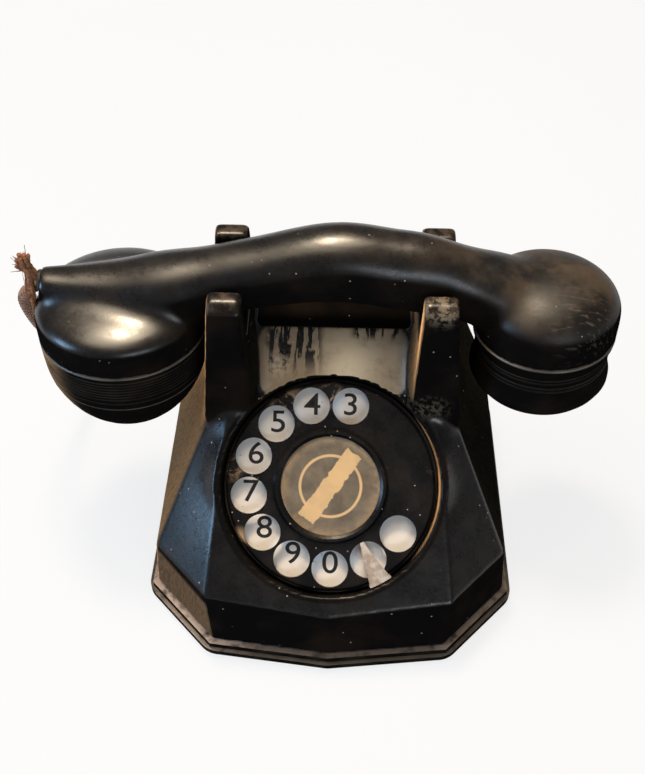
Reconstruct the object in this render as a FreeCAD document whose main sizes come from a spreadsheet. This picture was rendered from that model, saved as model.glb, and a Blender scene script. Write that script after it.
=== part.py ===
import FreeCAD, Part
import Sketcher
import math
import os

os.makedirs("parts", exist_ok=True)
Vector = FreeCAD.Vector
doc = FreeCAD.newDocument("telephone")

# Driving dimensions in millimetres and degrees. X is right, Y is back, Z is up.
DIMENSIONS = [
    ("felt_thick", 1.5), ("foot_step", 2.5), ("floor_thick", 1.5), ("foot_ledge", 1.6), ("foot_out", 3.4),
    ("foot_round", 9.0), ("tray_inset", 5.0),
    ("front_mid_y", -75.7), ("front_corner_x", 43.5), ("front_corner_y", -70.8),
    ("side_front_x", 67.3), ("side_front_y", -45.3), ("side_rear_x", 64.2), ("side_rear_y", 47.0),
    ("rear_corner_x", 46.0), ("rear_corner_y", 67.0),
    ("lean_front_mid", 0.12), ("lean_corner_x", 0.057), ("lean_corner_y", 0.107), ("lean_side", 0.065),
    ("skirt_top", 30.0), ("wall", 3.0),
    ("face_rise", 3.0), ("ridge_low_x", 45.0), ("ridge_high_x", 40.9), ("ridge_run", 41.4),
    ("side_break_x", 47.5), ("side_break_z", 66.0), ("deck_back", 34.0), ("deck_z", 94.5),
    ("ear_front", -13.7), ("ear_back", 31.8), ("slot_front", -4.7), ("slot_back", 22.6), ("seat_z", 104.8),
    ("ear_top", 127.6), ("ear_out_low", 49.0), ("ear_out_high", 42.6), ("ear_in_high", 31.0),
    ("ear_in_low", 27.6), ("ear_low_z", 50.0), ("ear_bevel", 3.6), ("ear_round", 1.3), ("ear_wall", 3.4),
    ("boss_radius", 5.0), ("boss_x", 51.0), ("boss_front_y", -36.0), ("boss_rear_y", 43.0),
    ("screw_radius", 1.85), ("screw_head", 3.5), ("screw_head_thick", 1.2), ("screw_length", 14.0),
    ("fit", 0.06), ("head_gap", 0.6), ("thread_room", 2.0),
    ("dial_y", -33.63), ("dial_z", 55.9), ("dial_tilt", 38.6), ("recess_gap", 1.7), ("well_wall", 3.2),
    ("recess_depth", 8.5), ("well_floor", 2.5), ("well_lip", 4.7),
    ("wheel_radius", 38.5), ("wheel_thick", 1.6), ("hole_ring_share", 0.787), ("hole_share", 0.1753),
    ("hole_step", 27.69), ("hole_first", 76.9), ("hole_count", 10),
    ("plate_gap", 0.8), ("plate_inner", 9.0), ("plate_thick", 1.0), ("plate_depth", 4.5),
    ("frame_gap", 0.6), ("frame_thick", 3.0), ("frame_boss", 7.0), ("frame_boss_long", 4.5),
    ("shaft_radius", 3.0), ("shaft_end", -33.0), ("hub_radius", 7.6), ("hub_thick", 2.0),
    ("running_fit", 0.05), ("bore_fit", 0.04),
    ("card_share", 0.5506), ("card_ring_wide", 2.9), ("card_ring_high", 2.4), ("card_thick", 0.6),
    ("window_thick", 0.8), ("card_fit", 0.1),
    ("gear_module", 1.0), ("gear_teeth", 44), ("pinion_teeth", 10), ("tooth_share", 0.37),
    ("tooth_root", 1.15), ("tooth_tip", 0.75), ("root_wide", 1.25), ("tip_wide", 0.55), ("gear_top", -15.5),
    ("gear_thick", 2.5), ("pinion_extra", 1.0), ("governor_shaft", 1.5), ("governor_radius", 7.0),
    ("arbor_gap", 0.4), ("rotor_gap", 1.0), ("slit_wide", 1.0), ("slit_floor", 1.5),
    ("cup_radius", 9.0), ("cup_wall", 1.0), ("cup_top", -22.0), ("bridge_top", -30.0), ("bridge_thick", 1.5),
    ("bridge_inset", 7.2), ("pillar_radius", 2.5), ("pillar_inset", 4.0), ("pillar_angle", 60.0),
    ("spring_inner", 8.4), ("spring_pitch", 2.0), ("spring_strip", 0.8), ("spring_tall", 2.4),
    ("spring_turns", 5), ("spring_gap", 0.5),
    ("cam_radius", 10.6), ("cam_dip", 1.4), ("cam_lobes", 10), ("cam_top", -22.0), ("cam_thick", 2.0),
    ("leaf_gap", 1.6), ("leaf_pitch", 2.2), ("leaf_thick", 0.5), ("leaf_tall", 4.0), ("block_near", 20.0),
    ("block_deep", 6.0), ("block_wide", 12.0), ("block_tall", 9.5),
    ("stop_thick", 1.1), ("stop_lift", 1.0), ("stop_gap", 0.35), ("stop_angle", -61.0), ("stop_reach", 16.4),
    ("stop_tip_half", 0.7), ("stop_lean", 0.6), ("stop_neck_in", 9.0), ("stop_neck_half", 2.2),
    ("stop_base_half", 4.3),
    ("plunger_radius", 3.6), ("plunger_x", 37.4), ("cradle_y", 9.0), ("plunger_foot", 61.6),
    ("plunger_collar", 4.2), ("collar_thick", 2.0), ("plunger_top", 106.4), ("plunger_travel", 6.0),
    ("collar_gap", 0.3),
    ("plunger_chamfer", 1.2),
    ("lever_pivot_y", 27.0), ("lever_z", 60.0), ("lever_thick", 2.0), ("lever_wide", 7.0),
    ("lever_front", 3.5), ("lever_bar", 5.0), ("lug_radius", 3.0), ("shelf_z", 50.0), ("leaf_long", 9.0),
    ("pin_radius", 1.5),
    ("bracket_x", 43.0), ("bracket_thick", 1.6), ("bracket_wide", 9.0), ("bracket_foot", 8.0),
    ("pile_wide", 10.0), ("pile_tall", 5.0), ("switch_leaf_low", 0.8), ("switch_leaf_pitch", 1.6),
    ("ringer_y", 35.0), ("ringer_plate_x", 33.0), ("ringer_plate_y", 11.0), ("ringer_plate", 2.0),
    ("gong_x", 20.5), ("gong_radius", 16.5), ("gong_z", 33.0), ("gong_tall", 11.0), ("gong_wall", 1.2),
    ("post_radius", 2.5), ("coil_x", 9.6), ("coil_radius", 6.2), ("coil_tall", 16.0), ("core_radius", 3.0),
    ("flange_radius", 6.8), ("flange_thick", 1.2), ("pole_proud", 0.8),
    ("lug_wide", 4.0), ("lug_thick", 1.6), ("lug_y", 6.0), ("armature_z", 27.0), ("armature_half", 15.5),
    ("armature_pin", 1.0),
    ("armature_wide", 6.0), ("armature_thick", 1.6), ("clapper_rod", 0.9), ("clapper_ball", 2.4),
    ("clapper_z", 36.0),
    ("block_x", 50.0), ("coil_front", -27.0), ("coil_length", 44.0), ("induction_radius", 8.0),
    ("cheek_half", 9.5), ("cheek_thick", 2.0), ("condenser_wide", 17.0), ("condenser_tall", 20.0),
    ("strip_x", 18.0), ("strip_y", 53.5), ("strip_half", 17.0), ("strip_deep", 8.0), ("strip_tall", 7.0),
    ("cord_radius", 2.2), ("inlet_x", -3.0), ("line_inlet_x", 32.0), ("inlet_z", 13.0), ("inlet_fit", 0.35),
    ("grommet_flange", 5.6), ("grommet_body", 4.2), ("grommet_flange_thick", 1.8), ("grommet_seat", 0.7),
    ("sender_inner", 45.8), ("sender_radius", 30.8), ("sender_tuck", 0.3), ("sender_seam", 98.0),
    ("sender_straight", 9.0), ("sender_rise", 18.0), ("sender_cavity", 25.6), ("sender_cavity_rise", 10.0),
    ("sender_well", 8.0), ("sender_well_rise", 17.5), ("sender_cap_tall", 37.5),
    ("sender_capsule_drop", 10.0), ("sender_holes", 0.25),
    ("ear_inner", 49.7), ("ear_cap_radius", 25.9), ("ear_tuck", 0.3), ("ear_seam", 101.6),
    ("ear_straight", 9.0), ("ear_rise", 23.4), ("ear_cavity", 21.0), ("ear_cavity_rise", 10.4),
    ("ear_well", 12.0), ("ear_well_rise", 15.4), ("ear_cap_tall", 29.5), ("receiver_capsule_drop", 9.0),
    ("ear_holes", 0.36),
    ("capsule_fit", 0.4), ("cap_wall", 3.0), ("cap_holes", 6), ("cap_hole_step", 60.0), ("hole_small", 1.8),
    ("wire_radius", 3.0), ("cord_hole", 3.9), ("tip_reach", 27.4), ("tip_z", 117.0), ("handset_roll", -6.0),
    ("bush_out", 3.85), ("bush_long", 8.0), ("bush_lip", 0.6), ("bush_hole", 3.2),
    ("coil_cx", -50.0), ("coil_out", 30.5), ("loop_pitch", 5.0), ("inner_loop", 5.4), ("layer_rise", 5.0),
    ("coil_cy", 108.0),
    ("table_lift", 2.4), ("cord_end_y", 50.0), ("tail_rise_x", -33.0),
]

# the grip from the cord's tip to the receiver: what it is measured from, the distance along it,
# the centre's height, half the height and half the width
GRIP = [
    ("sender", -27.4, 115.0, 6.6, 6.6), ("sender", -20.4, 113.0, 8.6, 8.6),
    ("sender", -9.4, 111.8, 10.8, 11.0), ("sender", 2.6, 112.2, 12.2, 13.0),
    ("sender", 14.6, 113.6, 13.6, 14.4), ("middle", -52.0, 115.6, 13.4, 13.8),
    ("middle", -44.0, 118.0, 12.6, 12.8), ("middle", -36.0, 120.2, 12.5, 12.6),
    ("middle", -18.0, 124.6, 13.0, 12.9), ("middle", -1.3, 127.4, 14.0, 13.2),
    ("middle", 18.0, 125.6, 14.3, 13.2), ("middle", 35.6, 122.4, 14.4, 12.6),
    ("middle", 44.0, 119.8, 14.0, 12.6), ("middle", 52.0, 117.0, 14.0, 14.0),
    ("ear", -13.6, 114.0, 13.6, 16.2), ("ear", -3.6, 111.4, 13.2, 16.6),
    ("ear", 6.4, 109.5, 12.0, 14.6), ("ear", 13.4, 107.5, 9.0, 10.0),
]
GRIP_MIDDLE = 9
for spot, (anchor, *values) in enumerate(GRIP):
    for word, amount in zip(("x", "z", "tall", "wide"), values):
        DIMENSIONS.append(("grip%d_%s" % (spot, word), amount))

# the cord's corners from the handset's tip down to the table
ROUTE = [(-84.0, 9.0, 117.0), (-114.0, 9.8, 117.0), (-115.0, 24.0, 76.0), (-110.0, 48.0, 36.0),
         (-100.0, 77.5, 2.4)]
ROUTE_COUNT = len(ROUTE)
for spot, values in enumerate(ROUTE):
    for word, amount in zip(("x", "y", "z"), values):
        DIMENSIONS.append(("route%d_%s" % (spot, word), amount))

sheet = doc.addObject("Spreadsheet::Sheet", "Sizes")
for row, (alias, amount) in enumerate(DIMENSIONS, start=1):
    sheet.set("A%d" % row, alias)
    sheet.set("B%d" % row, str(amount))
    sheet.setAlias("B%d" % row, alias)
doc.recompute()


class Size:
    # one dimension, as text for a binding and as a number for the first geometry
    def __init__(self, text, value):
        self.text = text
        self.value = value

    def __add__(self, other):
        return join(self, "+", other, self.value + number(other))

    def __radd__(self, other):
        return join(other, "+", self, number(other) + self.value)

    def __sub__(self, other):
        return join(self, "-", other, self.value - number(other))

    def __rsub__(self, other):
        return join(other, "-", self, number(other) - self.value)

    def __mul__(self, other):
        return join(self, "*", other, self.value * number(other))

    def __rmul__(self, other):
        return join(other, "*", self, number(other) * self.value)

    def __truediv__(self, other):
        return join(self, "/", other, self.value / number(other))

    def __neg__(self):
        return Size("(0 - %s)" % self.text, -self.value)


def number(amount):
    return amount.value if isinstance(amount, Size) else amount


def text(amount):
    return amount.text if isinstance(amount, Size) else repr(float(amount))


def join(left, sign, right, value):
    return Size("(%s %s %s)" % (text(left), sign, text(right)), value)


def v(alias):
    return float(sheet.get(alias))


def s(alias):
    return Size("Sizes.%s" % alias, v(alias))


def bind(item, prop, amount):
    item.setExpression(prop, text(amount))


def place(item, x=0, y=0, z=0, axis=None, angle=0):
    # puts a piece where it belongs, with each coordinate bound
    turn = FreeCAD.Rotation(axis or Vector(0, 0, 1), number(angle))
    item.Placement = FreeCAD.Placement(Vector(number(x), number(y), number(z)), turn)
    bind(item, "Placement.Base.x", x)
    bind(item, "Placement.Base.y", y)
    bind(item, "Placement.Base.z", z)
    if axis is not None:
        bind(item, "Placement.Rotation.Angle", angle)


def on_dial(item):
    # the dial's own frame: X to the right, Y up the sloping face, Z out of it
    turn = FreeCAD.Rotation(Vector(1, 0, 0), v("dial_tilt"))
    item.Placement = FreeCAD.Placement(Vector(0, v("dial_y"), v("dial_z")), turn)
    bind(item, "Placement.Base.y", s("dial_y"))
    bind(item, "Placement.Base.z", s("dial_z"))
    bind(item, "Placement.Rotation.Angle", s("dial_tilt"))


def new_body(label):
    body = doc.addObject("PartDesign::Body", label)
    body.Label = label
    return body


def origin_plane(body, role):
    return [item for item in body.Origin.OriginFeatures if item.Role == role][0]


def new_sketch(body, name, role, lift=0):
    sketch = body.newObject("Sketcher::SketchObject", name)
    sketch.AttachmentSupport = (origin_plane(body, role), [""])
    sketch.MapMode = "FlatFace"
    bind(sketch, "AttachmentOffset.Base.z", lift)
    return sketch


def pin_point(sketch, edge, end, point):
    for kind, axis, amount in (("DistanceX", -2, point[0]), ("DistanceY", -1, point[1])):
        if abs(number(amount)) < 1e-9:
            sketch.addConstraint(Sketcher.Constraint("PointOnObject", edge, end, axis))
            continue
        index = sketch.addConstraint(Sketcher.Constraint(kind, -1, 1, edge, end, number(amount)))
        bind(sketch, "Constraints[%d]" % index, amount)


def flat(point):
    return Vector(number(point[0]), number(point[1]), 0)


def outline(sketch, points):
    first = sketch.GeometryCount
    count = len(points)
    for i in range(count):
        sketch.addGeometry(Part.LineSegment(flat(points[i]), flat(points[(i + 1) % count])), False)
    for i in range(count):
        after = first + (i + 1) % count
        sketch.addConstraint(Sketcher.Constraint("Coincident", first + i, 2, after, 1))
    for i in range(count):
        pin_point(sketch, first + i, 1, points[i])


def circle(sketch, centre, radius):
    ring = Part.Circle(flat(centre), Vector(0, 0, 1), number(radius))
    edge = sketch.addGeometry(ring, False)
    pin_point(sketch, edge, 3, centre)
    index = sketch.addConstraint(Sketcher.Constraint("Radius", edge, number(radius)))
    bind(sketch, "Constraints[%d]" % index, radius)


def extrude(body, kind, sketch, length, backward=False):
    feature = body.newObject("PartDesign::" + kind, sketch.Name + "_" + kind)
    feature.Profile = sketch
    bind(feature, "Length", length)
    feature.Reversed = backward
    body.Tip = feature
    return feature


def pad(body, name, points, low, length, role="XY_Plane"):
    sketch = new_sketch(body, name, role, low)
    outline(sketch, points)
    return extrude(body, "Pad", sketch, length)


def pad_disc(body, name, centre, radius, low, length, role="XY_Plane"):
    sketch = new_sketch(body, name, role, low)
    circle(sketch, centre, radius)
    return extrude(body, "Pad", sketch, length)


def drill(body, name, holes, low, depth, role="XY_Plane"):
    # cuts round holes upwards from the given level
    sketch = new_sketch(body, name, role, low)
    for centre, radius in holes:
        circle(sketch, centre, radius)
    return extrude(body, "Pocket", sketch, depth, True)


def turned(body, name, points):
    # a piece turned about its own Z axis, from its radius and height profile
    sketch = new_sketch(body, name, "XZ_Plane")
    outline(sketch, points)
    feature = body.newObject("PartDesign::Revolution", name + "_turn")
    feature.Profile = sketch
    feature.ReferenceAxis = (sketch, ["V_Axis"])
    feature.Angle = 360
    body.Tip = feature
    return feature


def repeat(body, feature, count, step):
    pattern = body.newObject("PartDesign::PolarPattern", feature.Name + "_pattern")
    pattern.Originals = [feature]
    pattern.Axis = ([item for item in body.Origin.OriginFeatures if item.Role == "Z_Axis"][0], [""])
    bind(pattern, "Occurrences", count)
    bind(pattern, "Angle", step * (count - 1))
    body.Tip = pattern
    return pattern


def upright_edges(feature):
    names = []
    for index, edge in enumerate(feature.Shape.Edges, start=1):
        ends = [vertex.Point for vertex in edge.Vertexes]
        if len(ends) == 2 and (ends[0] - ends[1]).Length > 0.5:
            if math.hypot(ends[0].x - ends[1].x, ends[0].y - ends[1].y) < 1e-6:
                names.append("Edge%d" % index)
    return names


def round_corners(body, feature, radius):
    doc.recompute()
    fillet = body.newObject("PartDesign::Fillet", feature.Name + "_round")
    fillet.Base = (feature, upright_edges(feature))
    bind(fillet, "Radius", radius)
    body.Tip = fillet
    return fillet


def rectangle(low_x, low_y, high_x, high_y):
    return [(low_x, low_y), (high_x, low_y), (high_x, high_y), (low_x, high_y)]


def shape_node(label, shape):
    node = doc.addObject("Part::Feature", label)
    node.Label = label
    node.Shape = shape
    return node


NODES = []


def done(node):
    NODES.append(node)
    return node


def group(label, source, offsets):
    # the same piece several times in one node
    doc.recompute()
    copies = []
    for offset in offsets:
        copy = source.Shape.copy()
        copy.translate(offset)
        copies.append(copy)
    return done(shape_node(label, Part.makeCompound(copies)))


FLOOR = s("felt_thick")
SKIRT = s("felt_thick") + 2 * s("foot_step")
TRAY = s("felt_thick") + s("floor_thick")
COS_TILT = Size("cos(Sizes.dial_tilt)", math.cos(math.radians(v("dial_tilt"))))
SIN_TILT = Size("sin(Sizes.dial_tilt)", math.sin(math.radians(v("dial_tilt"))))
FACE_Y = s("dial_y") - SIN_TILT * s("face_rise")
FACE_Z = s("dial_z") + COS_TILT * s("face_rise")
RECESS = s("wheel_radius") + s("recess_gap")
HOLE_RING = s("wheel_radius") * s("hole_ring_share")
HOLE_RADIUS = s("wheel_radius") * s("hole_share")
CARD_RING = s("wheel_radius") * s("card_share")
CARD_HOLE = CARD_RING - s("card_ring_wide")
BRIDGE = RECESS - s("bridge_inset")
GEAR_CENTRE = -s("gear_module") * (s("gear_teeth") + s("pinion_teeth")) / 2
SENDER_X = -(s("sender_inner") + s("sender_radius"))
EAR_X = s("ear_inner") + s("ear_cap_radius")
TIP_X = SENDER_X - s("tip_reach")
ANCHORS = {"sender": SENDER_X, "middle": Size("0", 0.0), "ear": EAR_X}
COS_ROLL = Size("cos(Sizes.handset_roll)", math.cos(math.radians(v("handset_roll"))))
SIN_ROLL = Size("sin(Sizes.handset_roll)", math.sin(math.radians(v("handset_roll"))))
SCREW_SPOTS = [(1, "boss_front_y"), (-1, "boss_front_y"), (1, "boss_rear_y"), (-1, "boss_rear_y")]


def mirrored(points):
    # the right half of an outline, from front to back, followed by its left half
    left = [(-x, y) for x, y in reversed(points) if abs(number(x)) > 1e-9]
    return points + left


def plan(rise, inset=0):
    # the housing's outline at a height above the foot: a shallow V in front and cut corners
    lean = s("lean_side") * rise
    right = [
        (0, s("front_mid_y") + s("lean_front_mid") * rise + inset),
        (s("front_corner_x") + s("lean_corner_x") * rise - inset * 0.6,
         s("front_corner_y") + s("lean_corner_y") * rise + inset * 0.9),
        (s("side_front_x") - lean - inset, s("side_front_y") + lean * 0.6 + inset * 0.5),
        (s("side_rear_x") - lean - inset, s("side_rear_y") - lean * 0.6 - inset * 0.4),
        (s("rear_corner_x") - lean * 0.6 - inset * 0.5, s("rear_corner_y") - lean - inset),
    ]
    return mirrored(right)


def felt_pad():
    body = new_body("felt_pad")
    pad(body, "felt_outline", plan(0, s("tray_inset")), 0, s("felt_thick"))
    spots = [((side * s("boss_x"), s(y)), s("screw_head") + s("head_gap")) for side, y in SCREW_SPOTS]
    drill(body, "felt_holes", spots, 0, s("felt_thick"))
    return done(body)


def base_plate():
    # a pressed foot with two ledges all round and a shallow tray inside
    body = new_body("base_plate")
    lower = pad(body, "foot_low", plan(0, -s("foot_out")), FLOOR, s("foot_step"))
    round_corners(body, lower, s("foot_round"))
    doc.recompute()
    ledge = plan(0, s("foot_ledge") - s("foot_out"))
    pad(body, "foot_high", ledge, FLOOR + s("foot_step"), s("foot_step"))
    sketch = new_sketch(body, "tray", "XY_Plane", TRAY)
    outline(sketch, plan(0, s("tray_inset")))
    extrude(body, "Pocket", sketch, 3 * s("foot_step"), True)
    spots = [((side * s("boss_x"), s(y)), s("screw_radius") + s("fit")) for side, y in SCREW_SPOTS]
    drill(body, "foot_holes", spots, 0, SKIRT)
    return done(body)


def ridge_plane(sink):
    # the sloping front corner facet of the right side: a point on it and its outward normal
    slope = Vector(0, math.cos(math.radians(v("dial_tilt"))), math.sin(math.radians(v("dial_tilt"))))
    face = Vector(0, FACE_Y.value, FACE_Z.value)
    low = face + Vector(v("ridge_low_x"), 0, 0) - slope * v("ridge_run")
    high = face + Vector(v("ridge_high_x"), 0, 0)
    rise = v("skirt_top") - SKIRT.value
    lean = v("lean_side") * rise
    corner = Vector(v("side_front_x") - lean, v("side_front_y") + 0.6 * lean, v("skirt_top"))
    normal = (high - low).cross(corner - low).normalize()
    if normal.z < 0:
        normal = -normal
    return low - normal * sink, normal


def cut_facet(body, name, side, sink):
    point, normal = ridge_plane(sink)
    point.x = side * point.x
    normal.x = side * normal.x
    sketch = body.newObject("Sketcher::SketchObject", name)
    sketch.AttachmentSupport = (origin_plane(body, "XY_Plane"), [""])
    sketch.MapMode = "FlatFace"
    sketch.AttachmentOffset = FreeCAD.Placement(point, FreeCAD.Rotation(Vector(0, 0, 1), normal))
    reach = s("side_front_x") * 2.5
    outline(sketch, rectangle(-reach, -reach, reach, reach))
    extrude(body, "Pocket", sketch, reach, True)


def roof(body, prefix, inset):
    # the skirt drawn up to a flat deck, then cut to the dial slope, the rear slope, the sides and the facets
    deck = s("deck_z") - inset
    low_sketch = new_sketch(body, prefix + "_low", "XY_Plane", SKIRT)
    outline(low_sketch, plan(0, inset))
    high_sketch = new_sketch(body, prefix + "_high", "XY_Plane", deck)
    outline(high_sketch, plan(deck - SKIRT, inset))
    loft = body.newObject("PartDesign::AdditiveLoft", prefix + "_loft")
    loft.Profile = low_sketch
    loft.Sections = [high_sketch]
    loft.Ruled = True
    body.Tip = loft
    reach = s("side_front_x") * 1.5
    top = s("deck_z") * 2
    front_y = FACE_Y + SIN_TILT * inset
    front_z = FACE_Z - COS_TILT * inset
    sketch = new_sketch(body, prefix + "_front", "YZ_Plane", reach)
    outline(sketch, [(front_y - COS_TILT * reach, front_z - SIN_TILT * reach),
                     (front_y + COS_TILT * reach, front_z + SIN_TILT * reach),
                     (front_y + COS_TILT * reach, top), (front_y - COS_TILT * reach, top)])
    extrude(body, "Pocket", sketch, reach * 2)
    run = s("rear_corner_y") - s("deck_back")
    drop = s("deck_z") - s("skirt_top")
    slant = Size("sqrt(%s ^ 2 + %s ^ 2)" % (run.text, drop.text), math.hypot(run.value, drop.value))
    sink = inset * slant / run
    sketch = new_sketch(body, prefix + "_rear", "YZ_Plane", reach)
    outline(sketch, [(s("deck_back") - run, s("deck_z") + drop - sink),
                     (s("rear_corner_y") + run, s("skirt_top") - drop - sink),
                     (s("rear_corner_y") + run, top)])
    extrude(body, "Pocket", sketch, reach * 2)
    side_low = s("side_front_x") - s("lean_side") * (s("skirt_top") - SKIRT) - inset * 1.1
    side_run = side_low - (s("side_break_x") - inset * 1.1)
    side_rise = s("side_break_z") - s("skirt_top")
    sketch = new_sketch(body, prefix + "_sides", "XZ_Plane", reach)
    for sign in (1, -1):
        outline(sketch, [(sign * (side_low + side_run), s("skirt_top") - side_rise),
                         (sign * (side_low - side_run * 2), s("skirt_top") + side_rise * 2),
                         (sign * (side_low + side_run), s("skirt_top") + side_rise * 2)])
    extrude(body, "Pocket", sketch, reach * 2)
    cut_facet(body, prefix + "_facet_right", 1, number(inset))
    cut_facet(body, prefix + "_facet_left", -1, number(inset))


def cradle_ears(body):
    # an ear on each side, cut by the cradle slot into a front and a rear prong
    span = s("ear_back") - s("ear_front")
    sketch = new_sketch(body, "ear_faces", "XZ_Plane", -s("ear_front"))
    for sign in (1, -1):
        outline(sketch, [(sign * s("ear_out_low"), s("ear_low_z")), (sign * s("ear_out_high"), s("ear_top")),
                         (sign * s("ear_in_high"), s("ear_top")), (sign * s("ear_in_low"), s("ear_low_z"))])
    extrude(body, "Pad", sketch, span, True)
    reach = s("side_front_x") * 1.5
    over = s("ear_top") + s("ear_bevel")
    bevel_z = s("ear_top") - s("ear_bevel")
    sketch = new_sketch(body, "cradle_slot", "YZ_Plane", reach)
    outline(sketch, [(s("slot_front"), s("seat_z")), (s("slot_back"), s("seat_z")),
                     (s("slot_back"), over), (s("slot_front"), over)])
    crest = s("ear_top") + s("ear_bevel") * 0.8
    deep = s("ear_bevel") * 1.8
    outline(sketch, [(s("ear_front"), bevel_z), (s("ear_front") + deep, crest), (s("ear_front"), crest)])
    outline(sketch, [(s("ear_back"), bevel_z), (s("ear_back"), crest), (s("ear_back") - deep, crest)])
    return extrude(body, "Pocket", sketch, reach * 2)


def prong_edges(feature):
    names = []
    for index, edge in enumerate(feature.Shape.Edges, start=1):
        heights = [vertex.Z for vertex in edge.Vertexes]
        if max(heights) > (v("seat_z") + v("ear_top")) / 2:
            names.append("Edge%d" % index)
    return names


def cylinder(name, radius, height, x=0, y=0, z=0):
    item = doc.addObject("Part::Cylinder", name)
    bind(item, "Radius", radius)
    bind(item, "Height", height)
    place(item, x, y, z)
    return item


def dial_cylinder(name, radius, low, height):
    # a round block or cutter about the dial's axis, from one depth outwards
    item = doc.addObject("Part::Cylinder", name)
    bind(item, "Radius", radius)
    bind(item, "Height", height)
    place(item, 0, s("dial_y") - SIN_TILT * low, s("dial_z") + COS_TILT * low,
          Vector(1, 0, 0), s("dial_tilt"))
    return item


def rear_cylinder(name, radius, x, height):
    item = doc.addObject("Part::Cylinder", name)
    bind(item, "Radius", radius)
    bind(item, "Height", height)
    place(item, x, s("rear_corner_y") + height / 2, s("inlet_z"), Vector(1, 0, 0), 90)
    return item


def housing():
    outer = new_body("housing_outer")
    roof(outer, "roof", 0)
    slot = cradle_ears(outer)
    doc.recompute()
    fillet = outer.newObject("PartDesign::Fillet", "prong_round")
    fillet.Base = (slot, prong_edges(slot))
    bind(fillet, "Radius", s("ear_round"))
    outer.Tip = fillet
    core = new_body("housing_core")
    roof(core, "core", s("wall"))
    room = s("seat_z") - s("ear_wall") - s("ear_low_z")
    for side, name in ((1, "right_room"), (-1, "left_room")):
        near = s("ear_in_high") + s("ear_wall") * 0.53
        far = s("ear_out_high") - s("ear_wall") * 0.12
        walls = rectangle(side * near, s("ear_front") + s("ear_wall"),
                          side * far, s("ear_back") - s("ear_wall"))
        pad(core, name, walls, s("ear_low_z"), room)
    shell = doc.addObject("Part::Cut", "housing_shell")
    shell.Base = outer
    shell.Tool = core
    posts = doc.addObject("Part::Compound", "screw_posts")
    posts.Links = [cylinder("post_%d" % i, s("boss_radius"), s("deck_z"), side * s("boss_x"), s(y), SKIRT)
                   for i, (side, y) in enumerate(SCREW_SPOTS)]
    bosses = doc.addObject("Part::Common", "screw_bosses")
    bosses.Base = outer
    bosses.Tool = posts
    depth = s("recess_depth") + s("well_floor")
    well = dial_cylinder("dial_well", RECESS + s("well_wall"), -depth, depth + s("face_rise"))
    whole = doc.addObject("Part::MultiFuse", "housing_whole")
    whole.Shapes = [shell, bosses, well]
    hole_depth = s("screw_length") + s("thread_room")
    mouth = s("recess_depth") + s("face_rise") * 2
    cutters = [dial_cylinder("dial_recess", RECESS, -s("recess_depth"), mouth),
               dial_cylinder("dial_opening", RECESS - s("well_lip"), -depth * 2, depth * 2)]
    for side in (1, -1):
        bore = s("plunger_radius") + s("fit")
        tall = s("ear_wall") * 4
        cutters.append(cylinder("plunger_hole_%d" % (side + 1), bore, tall,
                                side * s("plunger_x"), s("cradle_y"), s("seat_z") - tall / 2))
    for i, (side, y) in enumerate(SCREW_SPOTS):
        cutters.append(cylinder("screw_hole_%d" % i, s("screw_radius") + s("fit"), hole_depth,
                                side * s("boss_x"), s(y), FLOOR))
    for i, x in enumerate(("inlet_x", "line_inlet_x")):
        cutters.append(rear_cylinder("inlet_hole_%d" % i, s("grommet_body") + s("fit"), s(x), s("wall") * 6))
    tools = doc.addObject("Part::Compound", "housing_cutters")
    tools.Links = cutters
    result = doc.addObject("Part::Cut", "housing")
    result.Base = whole
    result.Tool = tools
    result.Label = "housing"
    return done(result)


def housing_screws():
    body = new_body("screw_pattern")
    turned(body, "screw", [(0, -s("screw_head_thick")), (s("screw_head") * 0.8, -s("screw_head_thick")),
                           (s("screw_head"), -s("screw_head_thick") * 0.5), (s("screw_head"), 0),
                           (s("screw_radius"), 0), (s("screw_radius"), s("screw_length")),
                           (0, s("screw_length"))])
    spots = [Vector(side * v("boss_x"), v(y), v("felt_thick")) for side, y in SCREW_SPOTS]
    return group("housing_screws", body, spots)


def grommet(label, x, hole):
    # a rubber bush in the rear skirt, with a flange outside
    body = new_body(label)
    long = s("wall") * 2.4
    turned(body, label + "_section", [(hole, -long), (s("grommet_body"), -long), (s("grommet_body"), 0),
                                      (s("grommet_flange"), 0),
                                      (s("grommet_flange"), s("grommet_flange_thick") * 0.6),
                                      (s("grommet_flange") * 0.88, s("grommet_flange_thick")),
                                      (hole, s("grommet_flange_thick"))])
    seat = s("rear_corner_y") - s("lean_side") * s("inlet_z") * 0.6 + s("grommet_seat")
    place(body, x, seat, s("inlet_z"), Vector(1, 0, 0), -90)
    return done(body)


def dial_frame():
    # the cast plate behind the numbers, with the bearing for the dial's shaft
    body = new_body("dial_frame")
    low = -s("plate_depth") - s("plate_thick") - s("frame_thick")
    pad_disc(body, "frame_disc", (0, 0), RECESS - s("frame_gap"), low, s("frame_thick"))
    pad_disc(body, "frame_bearing", (0, 0), s("frame_boss"), low - s("frame_boss_long"), s("frame_boss_long"))
    drill(body, "frame_bores", [((0, 0), s("shaft_radius") + s("running_fit")),
                                ((GEAR_CENTRE, 0), s("governor_shaft") + s("running_fit"))],
          low - s("frame_boss_long") * 2, s("frame_thick") + s("frame_boss_long") * 3)
    on_dial(body)
    return done(body)


def number_plate():
    body = new_body("number_plate")
    low = -s("plate_depth") - s("plate_thick")
    pad_disc(body, "plate_disc", (0, 0), RECESS - s("plate_gap"), low, s("plate_thick"))
    drill(body, "plate_hole", [((0, 0), s("plate_inner"))], low * 2, s("plate_depth") * 4)
    on_dial(body)
    return done(body)


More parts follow.
